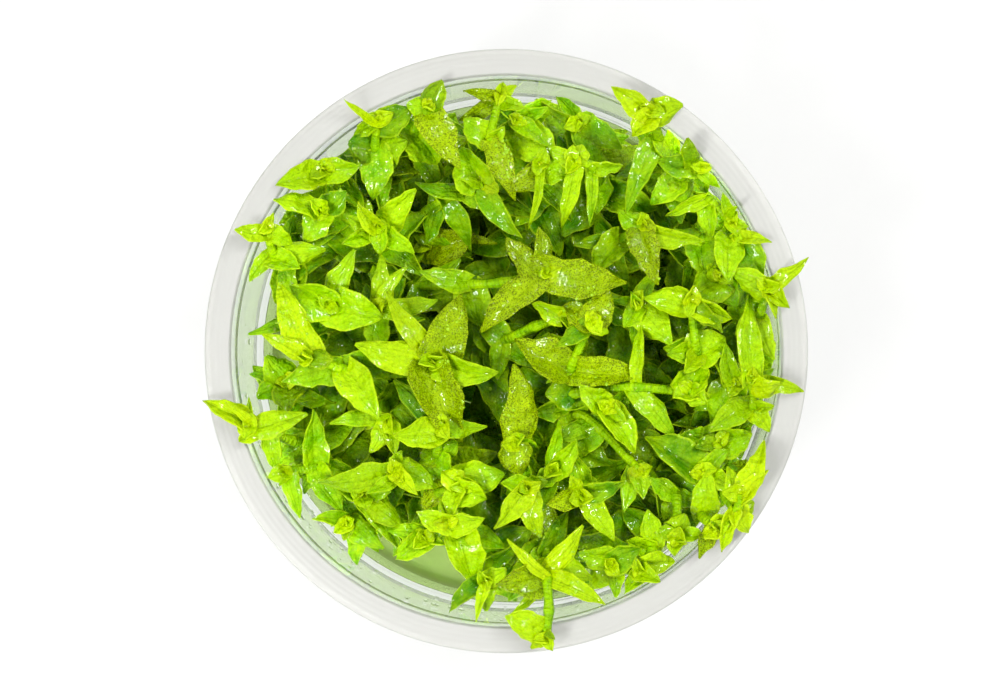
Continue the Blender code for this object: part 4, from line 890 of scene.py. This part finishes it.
# Green by age: a young leaf is yellow-green, an old one deep green
green = add_node(tree, "ValToRGB", (), [("Fac", age)])
stops = ((0.0, "ACC800"), (0.3, "92BE00"), (0.6, "70AA00"), (1.0, "447E00"))
while len(green.color_ramp.elements) < len(stops):
    green.color_ramp.elements.new(0.5)
for element, (share, code) in zip(green.color_ramp.elements, stops):
    element.position = share
    element.color = linear(code)

# Mottling: soft patches a few millimetres wide, lighter and yellower
patches = add_node(tree, "TexNoise", [("Scale", 1 / (PATCH * MM)), ("Detail", 4.0)], [("Vector", place)])
patch_range = add_node(tree, "MapRange", zip(RANGE, (0.35, 0.7, 0.0, 0.55)), [("Value", patches)])
mottled = add_node(tree, "Mix", [(7, linear("AED200"))], [(0, patch_range), (6, green)], data_type="RGBA")

# Veins: darker hair lines that converge with the blade's sides and wander a little
wander = add_node(tree, "Math", [(1, VEIN_WANDER)], [(0, patches)], operation="MULTIPLY")
vein_place = add_node(tree, "Math", [(1, VEINS)], [
    (0, blade_uv.outputs["X"]), (2, wander)], operation="MULTIPLY_ADD")
vein_share = add_node(tree, "Math", (), [(0, vein_place)], operation="FRACT")
vein_off = add_node(tree, "Math", [(1, 0.5)], [(0, vein_share)], operation="SUBTRACT")
vein_gap = add_node(tree, "Math", (), [(0, vein_off)], operation="ABSOLUTE")
vein = add_node(tree, "MapRange", zip(RANGE, (0.04, 0.2, 1.0, 0.0)), [("Value", vein_gap)],
                interpolation_type="SMOOTHSTEP")
vein_depth = add_node(tree, "Math", [(1, 0.07)], [(0, vein)], operation="MULTIPLY")
veined = add_node(tree, "Mix", [(7, linear("5A8C00"))], [
    (0, vein_depth), (6, mottled.outputs[2])], data_type="RGBA")

# Midrib and edge: how far a point is from the midrib, 0 to 1, darkens the one and pales the other; the pale
# edge is partly the margin's own lighter green and partly a painted highlight
off_middle = add_node(tree, "Math", [(1, 2.0), (2, -1.0)], [(0, blade_uv.outputs["X"])],
                      operation="MULTIPLY_ADD")
reach = add_node(tree, "Math", (), [(0, off_middle)], operation="ABSOLUTE")
midrib = add_node(tree, "MapRange", zip(RANGE, (0.02, 0.12, 0.13, 0.0)), [("Value", reach)],
                  interpolation_type="SMOOTHSTEP")
ribbed = add_node(tree, "Mix", [(7, linear("5A9000"))], [
    (0, midrib), (6, veined.outputs[2])], data_type="RGBA")
# Painted highlight: a thin bright line along the margin, on top of its paler green
edge = add_node(tree, "MapRange", zip(RANGE, (0.84, 0.97, 0.0, 0.32)), [("Value", reach)],
                interpolation_type="SMOOTHSTEP")
highlit_margin_colour = add_node(tree, "Mix", [(7, linear("C8E61E"))], [
    (0, edge), (6, ribbed.outputs[2])], data_type="RGBA")

# Specks: olive dots under half a millimetre wide, only on old leaves and closest near their edges
specks = add_node(tree, "TexNoise", [("Scale", 1 / (SPECK * MM)), ("Detail", 3.0), ("Roughness", 0.65)],
                  [("Vector", place)])
crowded = add_node(tree, "Math", [(1, 0.09)], [(0, reach), (2, specks)], operation="MULTIPLY_ADD")
speck_share = add_node(tree, "MapRange", zip(RANGE, (0.55, 0.63, 0.0, 0.75)), [("Value", crowded)],
                       interpolation_type="SMOOTHSTEP")
old_share = add_node(tree, "MapRange", zip(RANGE, (1.05, 1.5, 0.0, 1.0)), [("Value", age)])
speckled = add_node(tree, "Math", (), [(0, speck_share), (1, old_share)], operation="MULTIPLY")
olive_share = add_node(tree, "Math", [(1, 0.6)], [(0, old_share)], operation="MULTIPLY")
olive = add_node(tree, "Mix", [(7, linear("A8C000"))], [
    (0, olive_share), (6, highlit_margin_colour.outputs[2])], data_type="RGBA")
spotted = add_node(tree, "Mix", [(7, linear("424800"))], [
    (0, speckled), (6, olive.outputs[2])], data_type="RGBA")
grain = add_node(tree, "TexNoise", [("Scale", 1 / (GRAIN * MM)), ("Detail", 3.0)], [("Vector", place)])
grain_range = add_node(tree, "MapRange", zip(RANGE, (0.3, 0.7, 0.88, 1.12)), [("Value", grain)])
value = add_node(tree, "Math", (), [(0, tint), (1, grain_range)], operation="MULTIPLY")
shaded = add_node(tree, "HueSaturation", (), [("Value", value), ("Color", spotted.outputs[2])])
tree.links.new(shaded.outputs["Color"], shader.inputs["Base Color"])

# Relief: sunk veins and small blisters; the blisters also break up the wet gloss
swells = add_node(tree, "TexNoise", [("Scale", 1 / (SWELLING * MM)), ("Detail", 1.0)], [("Vector", place)])
fine = add_node(tree, "TexNoise", [("Scale", 1 / (BLISTER * MM)), ("Detail", 2.0)], [("Vector", place)])
blisters = add_node(tree, "Math", [(1, 2.2)], [(0, swells), (2, fine)], operation="MULTIPLY_ADD")
veins_sunk = add_node(tree, "Math", [(1, -0.15)], [(0, vein), (2, blisters)], operation="MULTIPLY_ADD")
relief = add_node(tree, "Math", [(1, -2.0)], [(0, midrib), (2, veins_sunk)], operation="MULTIPLY_ADD")
bump = add_node(tree, "Bump", [("Strength", 1.0), ("Distance", 0.0004)], [("Height", relief)])
tree.links.new(bump.outputs["Normal"], shader.inputs["Normal"])
# The film of water evens out the blisters, so its glints are larger than they are
evened = add_node(tree, "Math", [(1, 0.12)], [(0, fine), (2, swells)], operation="MULTIPLY_ADD")
film_bump = add_node(tree, "Bump", [("Strength", 1.0), ("Distance", 0.0004)], [("Height", evened)])
tree.links.new(film_bump.outputs["Normal"], shader.inputs["Coat Normal"])
wetness = add_node(tree, "MapRange", zip(RANGE, (0.4, 0.6, 0.2, 0.55)), [("Value", patches)])
tree.links.new(wetness.outputs["Result"], shader.inputs["Roughness"])


# The finish of a stem: fleshy, pale green, with fine ribs along it and wrinkles across, whose grooves are
# painted darker as shade
STEM_RIBS = 9
WRINKLES = 110.0

stem_flesh, shader = new_material("fleshy stem", (
    ("Roughness", 0.38), ("IOR", 1.4), ("Specular IOR Level", 0.08), ("Subsurface Weight", 0.15),
    ("Subsurface Scale", 0.001), ("Subsurface Radius", (0.8, 1.0, 0.1)), ("Coat Weight", 0.2),
    ("Coat Roughness", 0.06)))
tree = stem_flesh.node_tree
place = add_node(tree, "TexCoord").outputs["Object"]
tint = add_node(tree, "Attribute", attribute_name="tint").outputs["Fac"]
stem_uv = add_node(tree, "SeparateXYZ", (), [
    ("Vector", add_node(tree, "UVMap", uv_map="blade").outputs["UV"])])
rib_turn = add_node(tree, "Math", [(1, 2 * math.pi * STEM_RIBS)], [(0, stem_uv.outputs["X"])],
                    operation="MULTIPLY")
rib = add_node(tree, "Math", (), [(0, rib_turn)], operation="SINE")
round_and_along = add_node(tree, "VectorMath", [(1, (3.0, WRINKLES, 1.0))], [
    (0, add_node(tree, "UVMap", uv_map="blade").outputs["UV"])], operation="MULTIPLY")
wrinkles = add_node(tree, "TexNoise", [("Scale", 1.0), ("Detail", 2.0)], [("Vector", round_and_along)])
streaks = add_node(tree, "TexNoise", [("Scale", 1 / (2.5 * MM)), ("Detail", 3.0)], [("Vector", place)])
flesh = add_node(tree, "ValToRGB", (), [("Fac", streaks)])
flesh.color_ramp.elements[0].position = 0.35
flesh.color_ramp.elements[0].color = linear("78AE00")
flesh.color_ramp.elements[1].position = 0.7
flesh.color_ramp.elements[1].color = linear("A6D000")
# Painted shade: the colour darkens where the wrinkles' bump sinks
painted_groove_shade = add_node(tree, "MapRange", zip(RANGE, (0.3, 0.65, 0.74, 1.08)), [("Value", wrinkles)])
value = add_node(tree, "Math", (), [(0, tint), (1, painted_groove_shade)], operation="MULTIPLY")
shaded = add_node(tree, "HueSaturation", (), [("Value", value), ("Color", flesh)])
tree.links.new(shaded.outputs["Color"], shader.inputs["Base Color"])
relief = add_node(tree, "Math", [(1, 0.04)], [(0, rib), (2, wrinkles)], operation="MULTIPLY_ADD")
bump = add_node(tree, "Bump", [("Strength", 1.0), ("Distance", 0.0006)], [("Height", relief)])
tree.links.new(bump.outputs["Normal"], shader.inputs["Normal"])
tree.links.new(bump.outputs["Normal"], shader.inputs["Coat Normal"])
root_skin, shader = new_material("young root", (
    ("Base Color", linear("E9EDD2")), ("Roughness", 0.4), ("Subsurface Weight", 0.3),
    ("Subsurface Scale", 0.0006)))


# The drawn leaf: a blade that follows its solid's midrib, width and fold, with a drawn-out tip.
# Grown in a crowd, each one hooks over, twists, rolls its edges and crumples in its own way.
FINE_GRID = (8, 11)
PLAIN_GRID = (4, 7)
LEAF_THICK = 0.26
WIDEST = 0.38
SWELL = 0.68
BASE_CUT = 0.12
TIP_SHARE = 0.05
RAGGED = 0.28
WAVER = 0.2
CRUMPLE = 0.55
CRUMPLE_RATE = 0.45
CLASP = 0.7
# How far one leaf departs from the next
HOOK = (-0.06, 0.26)
SIDE_BEND = 0.07
CUPPING = (-1.2, 5.5, 1.2)
EDGE_ROLL = (-0.1, 0.5)
LEAN = 0.8
LOPSIDED = 0.12


def breadth(share):
    """A leaf's width at a share of its length, as a share of its full width: broad base, drawn-out tip."""
    place = (share + BASE_CUT) / (1 + BASE_CUT)
    taper = max(0.0, (1 - place) / (1 - WIDEST))
    return (place / WIDEST) ** SWELL * taper ** (SWELL * (1 - WIDEST) / WIDEST) + TIP_SHARE


def draw_leaf(bm, layers, root, tip, width, roll, age, tint, chance, grid=PLAIN_GRID):
    """One blade as a grid bent to shape: u runs across it and v from base to tip."""
    age_layer, tint_layer = layers
    made = bmesh.ops.create_grid(bm, x_segments=grid[0], y_segments=grid[1], size=1, calc_uvs=True)["verts"]
    chord = tip - root
    length = chord.length
    flat = Vector((chord.x, chord.y, 0.0))
    if flat.length < STEEP * length:
        flat = flat + Vector((math.cos(roll * 40), math.sin(roll * 40), 0.0)) * length * 0.5
    level = Vector((0, 0, 1)).cross(flat).normalized()
    hook = chance.uniform(*HOOK)
    side_bend = chance.uniform(-SIDE_BEND, SIDE_BEND)
    phase = chance.uniform(0, 6.28)
    cupping = chance.triangular(*CUPPING)
    edge_roll = chance.uniform(*EDGE_ROLL)
    lean = chance.uniform(-LEAN, LEAN)
    lopsided = chance.uniform(-LOPSIDED, LOPSIDED)
    for vert in made:
        side, share = vert.co.x, (vert.co.y + 1) / 2
        arch = 4 * share * (1 - share)
        centre = root + chord * share + level * side_bend * length * arch
        centre.z += (BOW * arch - hook * share ** 3) * length
        slope = 4 * BOW * (1 - 2 * share) - 3 * hook * share ** 2
        along = (chord + Vector((0, 0, slope * length))).normalized()
        across = (level - along * level.dot(along)).normalized()
        across = Matrix.Rotation(roll + lean * share, 3, along) @ across
        up = along.cross(across)
        hand = 1 if side > 0 else -1
        ragged = 1 + RAGGED * noise.noise(Vector((share * 5, hand * 3, phase * 5)))
        half = width / 2 * breadth(share) * (1 + lopsided * hand) * ragged
        rise = (abs(side) ** 1.25 * FOLD * cupping - side ** 4 * edge_roll) * half
        rise += WAVER * half * math.sin(share * 9 + phase + side) * side * side
        spot = root + tip + Vector((side * half, share * length, phase)) * CRUMPLE_RATE
        rise += CRUMPLE * noise.noise(spot) * min(1, share * 4)
        clasp = along * half * side * side * CLASP * (1 - share) ** 4
        vert.co = centre + across * side * half + up * rise - clasp
        vert[age_layer] = age + 0.12 * share
        vert[tint_layer] = tint


def smooth_route(points, step):
    """Points about a step apart on a smooth curve through a route's own points."""
    padded = [points[0] * 2 - points[1], *points, points[-1] * 2 - points[-2]]
    curve = []
    for before, start, end, after in zip(padded, padded[1:], padded[2:], padded[3:]):
        count = max(2, round((end - start).length / step))
        for index in range(count):
            t = index / count
            curve.append(0.5 * (2 * start + (end - before) * t
                                + (2 * before - 5 * start + 4 * end - after) * t * t
                                + (3 * start - before - 3 * end + after) * t ** 3))
    return curve + [points[-1]]


def draw_tube(bm, layers, curve, radii, sides, tint, material_index):
    """A closed tube along a curve, made of a grid that is rolled up and sewn along its seam."""
    last = len(curve) - 1
    made = bmesh.ops.create_grid(bm, x_segments=sides, y_segments=last, size=1, calc_uvs=True)["verts"]
    across = Vector((1, 0, 0))
    frames = []
    for index, point in enumerate(curve):
        along = (curve[min(index + 1, last)] - curve[max(index - 1, 0)]).normalized()
        across = (across - along * across.dot(along)).normalized()
        frames.append((point, across, along.cross(across)))
    for vert in made:
        row = round((vert.co.y + 1) / 2 * last)
        turn = (vert.co.x + 1) * math.pi
        point, one, other = frames[row]
        vert.co = point + (one * math.cos(turn) + other * math.sin(turn)) * radii[row]
        vert[layers[1]] = tint
    faces = {face for vert in made for face in vert.link_faces}
    for face in faces:
        face.material_index = material_index
    bmesh.ops.remove_doubles(bm, verts=made, dist=0.002)
    ends = [edge for edge in {edge for face in faces for edge in face.edges} if edge.is_boundary]
    for face in bmesh.ops.holes_fill(bm, edges=ends, sides=sides)["faces"]:
        face.material_index = material_index


# Small leaves between the solids' own: pairs up the bare stem, turned a quarter from pair to pair.
# Each kind has its length, its rise, its width, and how far it may roll in degrees
PAIR_STEP = 4.3
PAIR_TURN = 18.0
PAIR_FOOT = 3.5
LOWER_LEAF = ((7.5, 11.5), (-3, 5), (3.8, 5.2), 45)
UPPER_LEAF = ((5.5, 8.5), (-1, 2.5), (3.0, 4.4), 25)
PAIR_TOP = 44.0
WALL_ROOM = 1.6
# The folded young leaves at a shoot's end: length and spread of each
BUD_LEAVES = ((2.9, 0.75), (2.9, 0.75), (1.6, 0.25), (1.6, 0.25))


def young_leaf(root, heading, kind, chance):
    """A leaf from its root towards a heading in degrees, as (root, tip, width, roll)."""
    lengths, rises, widths, roll = kind
    turn = math.radians(heading)
    tip = root + Vector((math.cos(turn), math.sin(turn), 0)) * chance.uniform(*lengths)
    tip += Vector((0, 0, chance.uniform(*rises)))
    return root, tip, chance.uniform(*widths), math.radians(chance.uniform(-roll, roll))


def leaf_pair(root, turn, kind, chance):
    """Two leaves across from each other, their tips kept off the wall."""
    pair = []
    for side in (0, 180):
        leaf = young_leaf(root, turn + side + chance.uniform(-PAIR_TURN, PAIR_TURN), kind, chance)
        tip = leaf[1]
        room = inner_radius(tip.z) - WALL_ROOM
        if tip.xy.length > room:
            tip.xy = tip.xy * room / tip.xy.length
        pair.append(leaf)
    return pair


def lower_pairs(stem, chance):
    """Leaves for the bare stretch of a stem, from just over the gel up to where the solids' leaves start."""
    foot, first = stem.route[0], stem.route[1]
    stretch = first - foot
    height = GEL_HEIGHT + PAIR_FOOT
    turn = chance.uniform(0, 360)
    leaves = []
    while height < first.z - 2:
        leaves += leaf_pair(foot + stretch * ((height - foot.z) / stretch.z), turn, LOWER_LEAF, chance)
        turn += 90 + chance.uniform(-15, 15)
        height += PAIR_STEP * chance.uniform(0.85, 1.2)
    return leaves


def upper_pairs(stem, chance):
    """Small leaves on the upper stem, between the nodes whose leaves the solids have."""
    leaves = []
    turn = chance.uniform(0, 360)
    for low, high in zip(stem.route[1:], stem.route[2:]):
        count = int((high - low).length / PAIR_STEP)
        for index in range(count):
            root = low.lerp(high, (index + 0.5) / count)
            if root.z <= PAIR_TOP:
                leaves += leaf_pair(root, turn, UPPER_LEAF, chance)
                turn += 90
    return leaves


def bud(stem, chance):
    """The folded young leaves at the end of a shoot."""
    end = stem.route[-1]
    along = (end - stem.route[-2]).normalized()
    leaves = []
    turn = chance.uniform(0, 6.28)
    for size, spread in BUD_LEAVES:
        size *= chance.uniform(0.75, 1.2)
        spread *= chance.uniform(0.7, 1.05)
        side = Vector((math.cos(turn), math.sin(turn), 0))
        heading = (along * (1 - spread) + side * spread + Vector((0, 0, 0.25))).normalized()
        leaves.append((end + along * 0.2, end + heading * size, size * 0.85, 0.0))
        turn += math.pi if len(leaves) != 2 else math.pi / 2
    return leaves


# Side shoots: short shaded branches from the foot of the shoots, one into each empty spot of the tuft
SPOT_STEP = 1.5
SPOT_REACH = 37.0
SPOT_COVER = 4.2
SPOT_LEAST = 3
BRANCH_MOST = 70
BRANCH_HEIGHT = (25.0, 34.0)
BRANCH_LEAF = (7.0, 10.0)
BRANCH_RISE = (0, 3)
BRANCH_WIDTH = (3.8, 5.0)
BRANCH_ROLL = 20
BRANCH_TURN = 20
BRANCH_FROM = 0.08
BRANCH_END_LEAF = ((6, 9), (0, 3), (3.6, 4.8), 20)
STEM_STEP = 1.1


def leaf_kite(root, tip, width):
    side = Vector((0, 0, 1)).cross(tip - root).normalized() * width / 2
    widest = root.lerp(tip, WIDEST)
    return [root, widest + side, tip, widest - side]


def in_opening(point, room):
    """Whether a point lies in the gap kept free for tweezers, or within some room of it."""
    return all(FREE_CORNER[axis] - room < point[axis] < FREE_FAR_CORNER[axis] + room for axis in range(2))


def empty_spots(grown, extras):
    """The middles of the gaps that the eye looks through to the gel, the widest first, with their shoots."""
    points = []
    for _, leaves in grown:
        for _, blade in leaves:
            points += leaf_kite(sum(blade.base, Vector()) / 4, blade.tip, blade.width)
    for root, tip, width, _ in extras:
        points += leaf_kite(root, tip, width)
    cover = BVHTree.FromPolygons(points, [range(first, first + 4) for first in range(0, len(points), 4)])
    middle_height = sum(BRANCH_HEIGHT) / 2
    steps = np.arange(-SPOT_REACH, SPOT_REACH, SPOT_STEP)
    gaps = []
    for x in steps:
        for y in steps:
            spot = Vector((x, y, middle_height))
            if spot.xy.length < SPOT_REACH and not in_opening(spot, 5):
                if cover.ray_cast(EYE, (spot - EYE).normalized())[0] is None:
                    gaps.append((x, y))
    feet = np.array([tuple(stem.route[0].xy) for stem, _ in grown])
    gaps = np.array(gaps)
    found = []
    while len(found) < BRANCH_MOST and len(gaps):
        apart = np.linalg.norm(gaps[:, None] - gaps[None], axis=2)
        near = (apart < SPOT_COVER).sum(axis=1)
        if near.max() < SPOT_LEAST:
            break
        spot = gaps[near.argmax()]
        found.append((spot, int(np.linalg.norm(feet - spot, axis=1).argmin())))
        gaps = gaps[np.linalg.norm(gaps - spot, axis=1) >= SPOT_COVER]
    return found


def side_shoot(stem, spot, chance):
    """A branch's curve from the foot of a shoot to a spot, and its leaves."""
    start = stem.route[0].lerp(stem.route[1], BRANCH_FROM)
    end = Vector((spot[0], spot[1], chance.uniform(*BRANCH_HEIGHT)))
    bend = start.lerp(end, 0.45) + Vector((end.x - start.x, end.y - start.y, 0)) * 0.25
    curve = smooth_route([start, bend, end], STEM_STEP)
    leaves = []
    turn = chance.uniform(0, 360)
    for root in curve[3::4]:
        for side in (0, 180):
            heading = math.radians(turn + side + chance.uniform(-BRANCH_TURN, BRANCH_TURN))
            rise = chance.uniform(*BRANCH_RISE)
            tip = root + Vector((math.cos(heading), math.sin(heading), 0)) * chance.uniform(*BRANCH_LEAF)
            tip.z += rise
            width = chance.uniform(*BRANCH_WIDTH)
            roll = math.radians(chance.uniform(-BRANCH_ROLL, BRANCH_ROLL))
            leaves.append((root, tip, width, roll))
        turn += 90
    for side in (0, 90, 180, 270):
        leaves.append(young_leaf(end, turn + side + chance.uniform(-15, 15), BRANCH_END_LEAF, chance))
    return curve, leaves


# The dressed plantlets: leaves, stem, branches and roots of one shoot are one piece
STEM_SIDES = 9
STEM_SUNK = 6.0
STEM_SWAY = 0.9
NODE_SWELL = 0.28
ROOTS = 4
ROOT_RADIUS = 0.16
ROOT_STEP = 1.2
ROOT_SINKS = (0.6, 1.8)
ROOT_LOWEST = 2.2
ROOT_POINTS = 7
ROOT_TAPER = 0.6
BRANCH_TAPER = 0.2
LEAF_TINTS = (0.9, 1.08)
# A leaf at the first height is youngest, at 0, and one this much lower is fully grown, at 1
YOUNG_HEIGHT = 52.5
GROWN_DEPTH = 16.0
AGE_SPREAD = (-0.12, 0.18)
# Speckled leaves are past their prime by this much: the listed ones, and by chance a few others
SPECKLED_AGE = (0.35, 0.5)
OTHERS_SHARE = 0.12
OTHERS_AGE = (0.2, 0.5)
# The ages of the small leaves, by where they grow
LOWER_AGE = 0.9
UPPER_AGE = 0.6
BUD_AGE = 0.05
BRANCH_AGE = 0.8
# A drawn leaf belongs to the row of the table whose tip it ends this near to
TIP_MATCH = 6.0
# How far the tips and the middles of small leaves stay off the gap kept free
TIP_ROOM = 1.2
MIDDLE_ROOM = 2.5
# The drawn leaf narrows to its tip, so it is drawn wider than its solid
LEAF_WIDEN = 1.22
# Speckled leaves of the photograph, by shoot and by leaf in its row of the table
SPECKLED = {(27, 1), (27, 2), (27, 3), (27, 4), (21, 5), (21, 4), (28, 1), (28, 3), (28, 5), (28, 6),
            (17, 2), (6, 2), (7, 1), (7, 5), (30, 1), (30, 2), (53, 6), (36, 3), (45, 1), (55, 1),
            (56, 5), (9, 1), (13, 1)}


def leaf_age(number, place, root, blade, chance):
    """A leaf's age by its height, 0 to 1; a leaf past its prime is older and has specks."""
    height = (root.z + blade.tip.z) / 2
    years = min(1.0, max(0.0, (YOUNG_HEIGHT - height) / GROWN_DEPTH + chance.uniform(*AGE_SPREAD)))
    row = next((index for index, leaf in enumerate(SHOOTS[number - 1][1], 1)
                if leaf[0] == place[0] - 1 and (seen_at(*leaf[1:4]) - blade.tip).length < TIP_MATCH), 0)
    if (number, row) in SPECKLED:
        years = 1.0 + chance.uniform(*SPECKLED_AGE)
    elif chance.random() < OTHERS_SHARE:
        years = max(years, 0.7) + chance.uniform(*OTHERS_AGE)
    return years


def draw_stem(bm, layers, stem, tint, chance):
    """The stem from its sunk end to its tip, thinner upwards and swollen at its nodes; gives that end."""
    foot = stem.route[0]
    sway = Vector((chance.uniform(-1, 1), chance.uniform(-1, 1), 0)) * STEM_SWAY
    sunk = foot - (stem.route[1] - foot).normalized() * STEM_SUNK
    route = [sunk, foot, foot.lerp(stem.route[1], 0.35) + sway, foot.lerp(stem.route[1], 0.7) - sway]
    curve = smooth_route(route + stem.route[1:], STEM_STEP)
    radii = []
    for index, point in enumerate(curve):
        radius = STEM_RADIUS + (STEM_TOP_RADIUS - STEM_RADIUS) * index / (len(curve) - 1)
        near = min((point - node).length for node in stem.route[1:])
        radii.append(radius * (1 + NODE_SWELL * math.exp(-(near / 1.1) ** 2)))
    draw_tube(bm, layers, curve, radii, STEM_SIDES, tint, 1)
    return sunk


def draw_thinning(bm, layers, curve, radius, loss, sides, tint, material_index):
    """A branch or root that loses a share of its radius on its way."""
    radii = [radius * (1 - loss * index / len(curve)) for index in range(len(curve))]
    draw_tube(bm, layers, curve, radii, sides, tint, material_index)


def root_way(start, chance):
    """A root's wandering way down through the gel."""
    turn = chance.uniform(0, 6.28)
    way = [start]
    while way[-1].z > CUP_FLOOR + ROOT_LOWEST and len(way) < ROOT_POINTS:
        turn += chance.uniform(-0.7, 0.7)
        flat = Vector((math.cos(turn) * ROOT_STEP, math.sin(turn) * ROOT_STEP, -chance.uniform(*ROOT_SINKS)))
        point = way[-1] + flat
        reach = BASE_RADIUS - 3
        if point.xy.length > reach:
            point.xy = point.xy * reach / point.xy.length
        way.append(point)
    return way


grown = grow_all()
pair_leaves = []
for owner, (stem, _) in enumerate(grown):
    chance = random.Random(500 + owner)
    pair_leaves.append((lower_pairs(stem, chance), upper_pairs(stem, chance)))
spots = empty_spots(grown, [leaf for lower, upper in pair_leaves for leaf in lower + upper])
skins = []
for number, (stem, leaves) in enumerate(grown, 1):
    chance = random.Random(100 + number)
    own_tint = chance.uniform(*LEAF_TINTS)
    bm = bmesh.new()
    bm.loops.layers.uv.new("blade")
    layers = (bm.verts.layers.float.new("age"), bm.verts.layers.float.new("tint"))
    for place, blade in leaves:
        root = sum(blade.base, Vector()) / 4
        years = leaf_age(number, place, root, blade, chance)
        roll = math.asin(max(-1, min(1, blade.sections[0][1].z)))
        draw_leaf(bm, layers, root, blade.tip, blade.width * LEAF_WIDEN, -roll, years,
                  own_tint * chance.uniform(*LEAF_TINTS), chance, FINE_GRID)
    lower, upper = pair_leaves[number - 1]
    extras = [(leaf, LOWER_AGE) for leaf in lower] + [(leaf, UPPER_AGE) for leaf in upper]
    extras += [(leaf, BUD_AGE) for leaf in bud(stem, chance)]
    branches = []
    for spot, shoot in spots:
        if shoot == number - 1:
            curve, branch_leaves = side_shoot(stem, spot, chance)
            branches.append(curve)
            extras += [(leaf, BRANCH_AGE) for leaf in branch_leaves]
    for (root, tip, width, roll), years in extras:
        if not (in_opening(tip, TIP_ROOM) or in_opening(root.lerp(tip, 0.5), MIDDLE_ROOM)):
            draw_leaf(bm, layers, root, tip, width, roll, years + chance.uniform(-0.1, 0.2),
                      own_tint * chance.uniform(*LEAF_TINTS), chance)
    bmesh.ops.solidify(bm, geom=bm.faces[:], thickness=LEAF_THICK)
    bmesh.ops.recalc_face_normals(bm, faces=bm.faces)

    sunk = draw_stem(bm, layers, stem, own_tint, chance)
    for curve in branches:
        draw_thinning(bm, layers, curve, STEM_TOP_RADIUS, BRANCH_TAPER, STEM_SIDES, own_tint, 1)
    for _ in range(ROOTS):
        way = root_way(sunk.lerp(stem.route[0], chance.uniform(0.0, 0.6)), chance)
        if len(way) > 2:
            draw_thinning(bm, layers, smooth_route(way, 0.9), ROOT_RADIUS, ROOT_TAPER, 5, 1.0, 2)
    skins.append(BVHTree.FromBMesh(bm))
    piece = add_piece(f"plantlet_{number:02d}", bm, leaf_skin, stem_flesh, root_skin, smooth_angle=62.0)
    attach(piece, "root")
    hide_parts(f"shoot_{number:02d}")


# Water on the leaves: drops left from rinsing, in clusters on the topmost leaves.
# Plain water, flattened on the skin that it wets; its green is painted, the leaf beneath seen through the
# water.
WATER_SPOTS = 90
SPOT_DROPS = (3, 12)
SPOT_SPREAD = 0.8
DROP_SIZES = (0.1, 0.34)

leaf_water, shader = new_material("water over a leaf", (
    ("Roughness", 0.1), ("IOR", 1.5), ("Coat Weight", 1.0), ("Coat Roughness", 0.06)))
tree = leaf_water.node_tree
under = add_node(tree, "TexNoise", [("Scale", 400.0), ("Detail", 2.0)],
                 [("Vector", add_node(tree, "TexCoord").outputs["Object"])])
# Painted light: the drop's colour is the leaf seen through it, not a colour of the water
painted_leaf_beneath = add_node(tree, "ValToRGB", (), [("Fac", under)])
painted_leaf_beneath.color_ramp.elements[0].color = linear("84B406")
painted_leaf_beneath.color_ramp.elements[1].color = linear("A8D01C")
tree.links.new(painted_leaf_beneath.outputs["Color"], shader.inputs["Base Color"])

chance = random.Random(9)
drop = bpy.data.meshes.new("drop")
drop_shape = bmesh.new()
bmesh.ops.create_uvsphere(drop_shape, u_segments=7, v_segments=5, radius=1.0)
drop_shape.to_mesh(drop)
drop_shape.free()
drops = bmesh.new()
for _ in range(WATER_SPOTS):
    turn = chance.uniform(0, 2 * math.pi)
    reach = (MOUTH_RADIUS - 2) * math.sqrt(chance.random())
    for _ in range(chance.randint(*SPOT_DROPS)):
        aim = Vector((math.cos(turn) * reach, math.sin(turn) * reach, CUP_HEIGHT))
        aim += Vector((chance.gauss(0, SPOT_SPREAD), chance.gauss(0, SPOT_SPREAD), 0))
        size = chance.uniform(*DROP_SIZES)
        shape = Matrix.Diagonal((size, size * chance.uniform(0.7, 1.6), size * chance.uniform(0.3, 0.5), 1))
        hits = [skin.ray_cast(EYE, (aim - EYE).normalized()) for skin in skins]
        hits = [hit for hit in hits if hit[0] is not None]
        if hits:
            place, normal, _, _ = min(hits, key=lambda hit: hit[3])
            turned_up = normal.to_track_quat("Z", "Y").to_matrix().to_4x4()
            this_drop = drop.copy()
            this_drop.transform(Matrix.Translation(place) @ turned_up @ shape)
            drops.from_mesh(this_drop)
            bpy.data.meshes.remove(this_drop)
bpy.data.meshes.remove(drop)
drops_piece = add_piece("water_on_leaves", drops, leaf_water, smooth_angle=180.0)
drops_piece.visible_shadow = False
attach(drops_piece, "root")
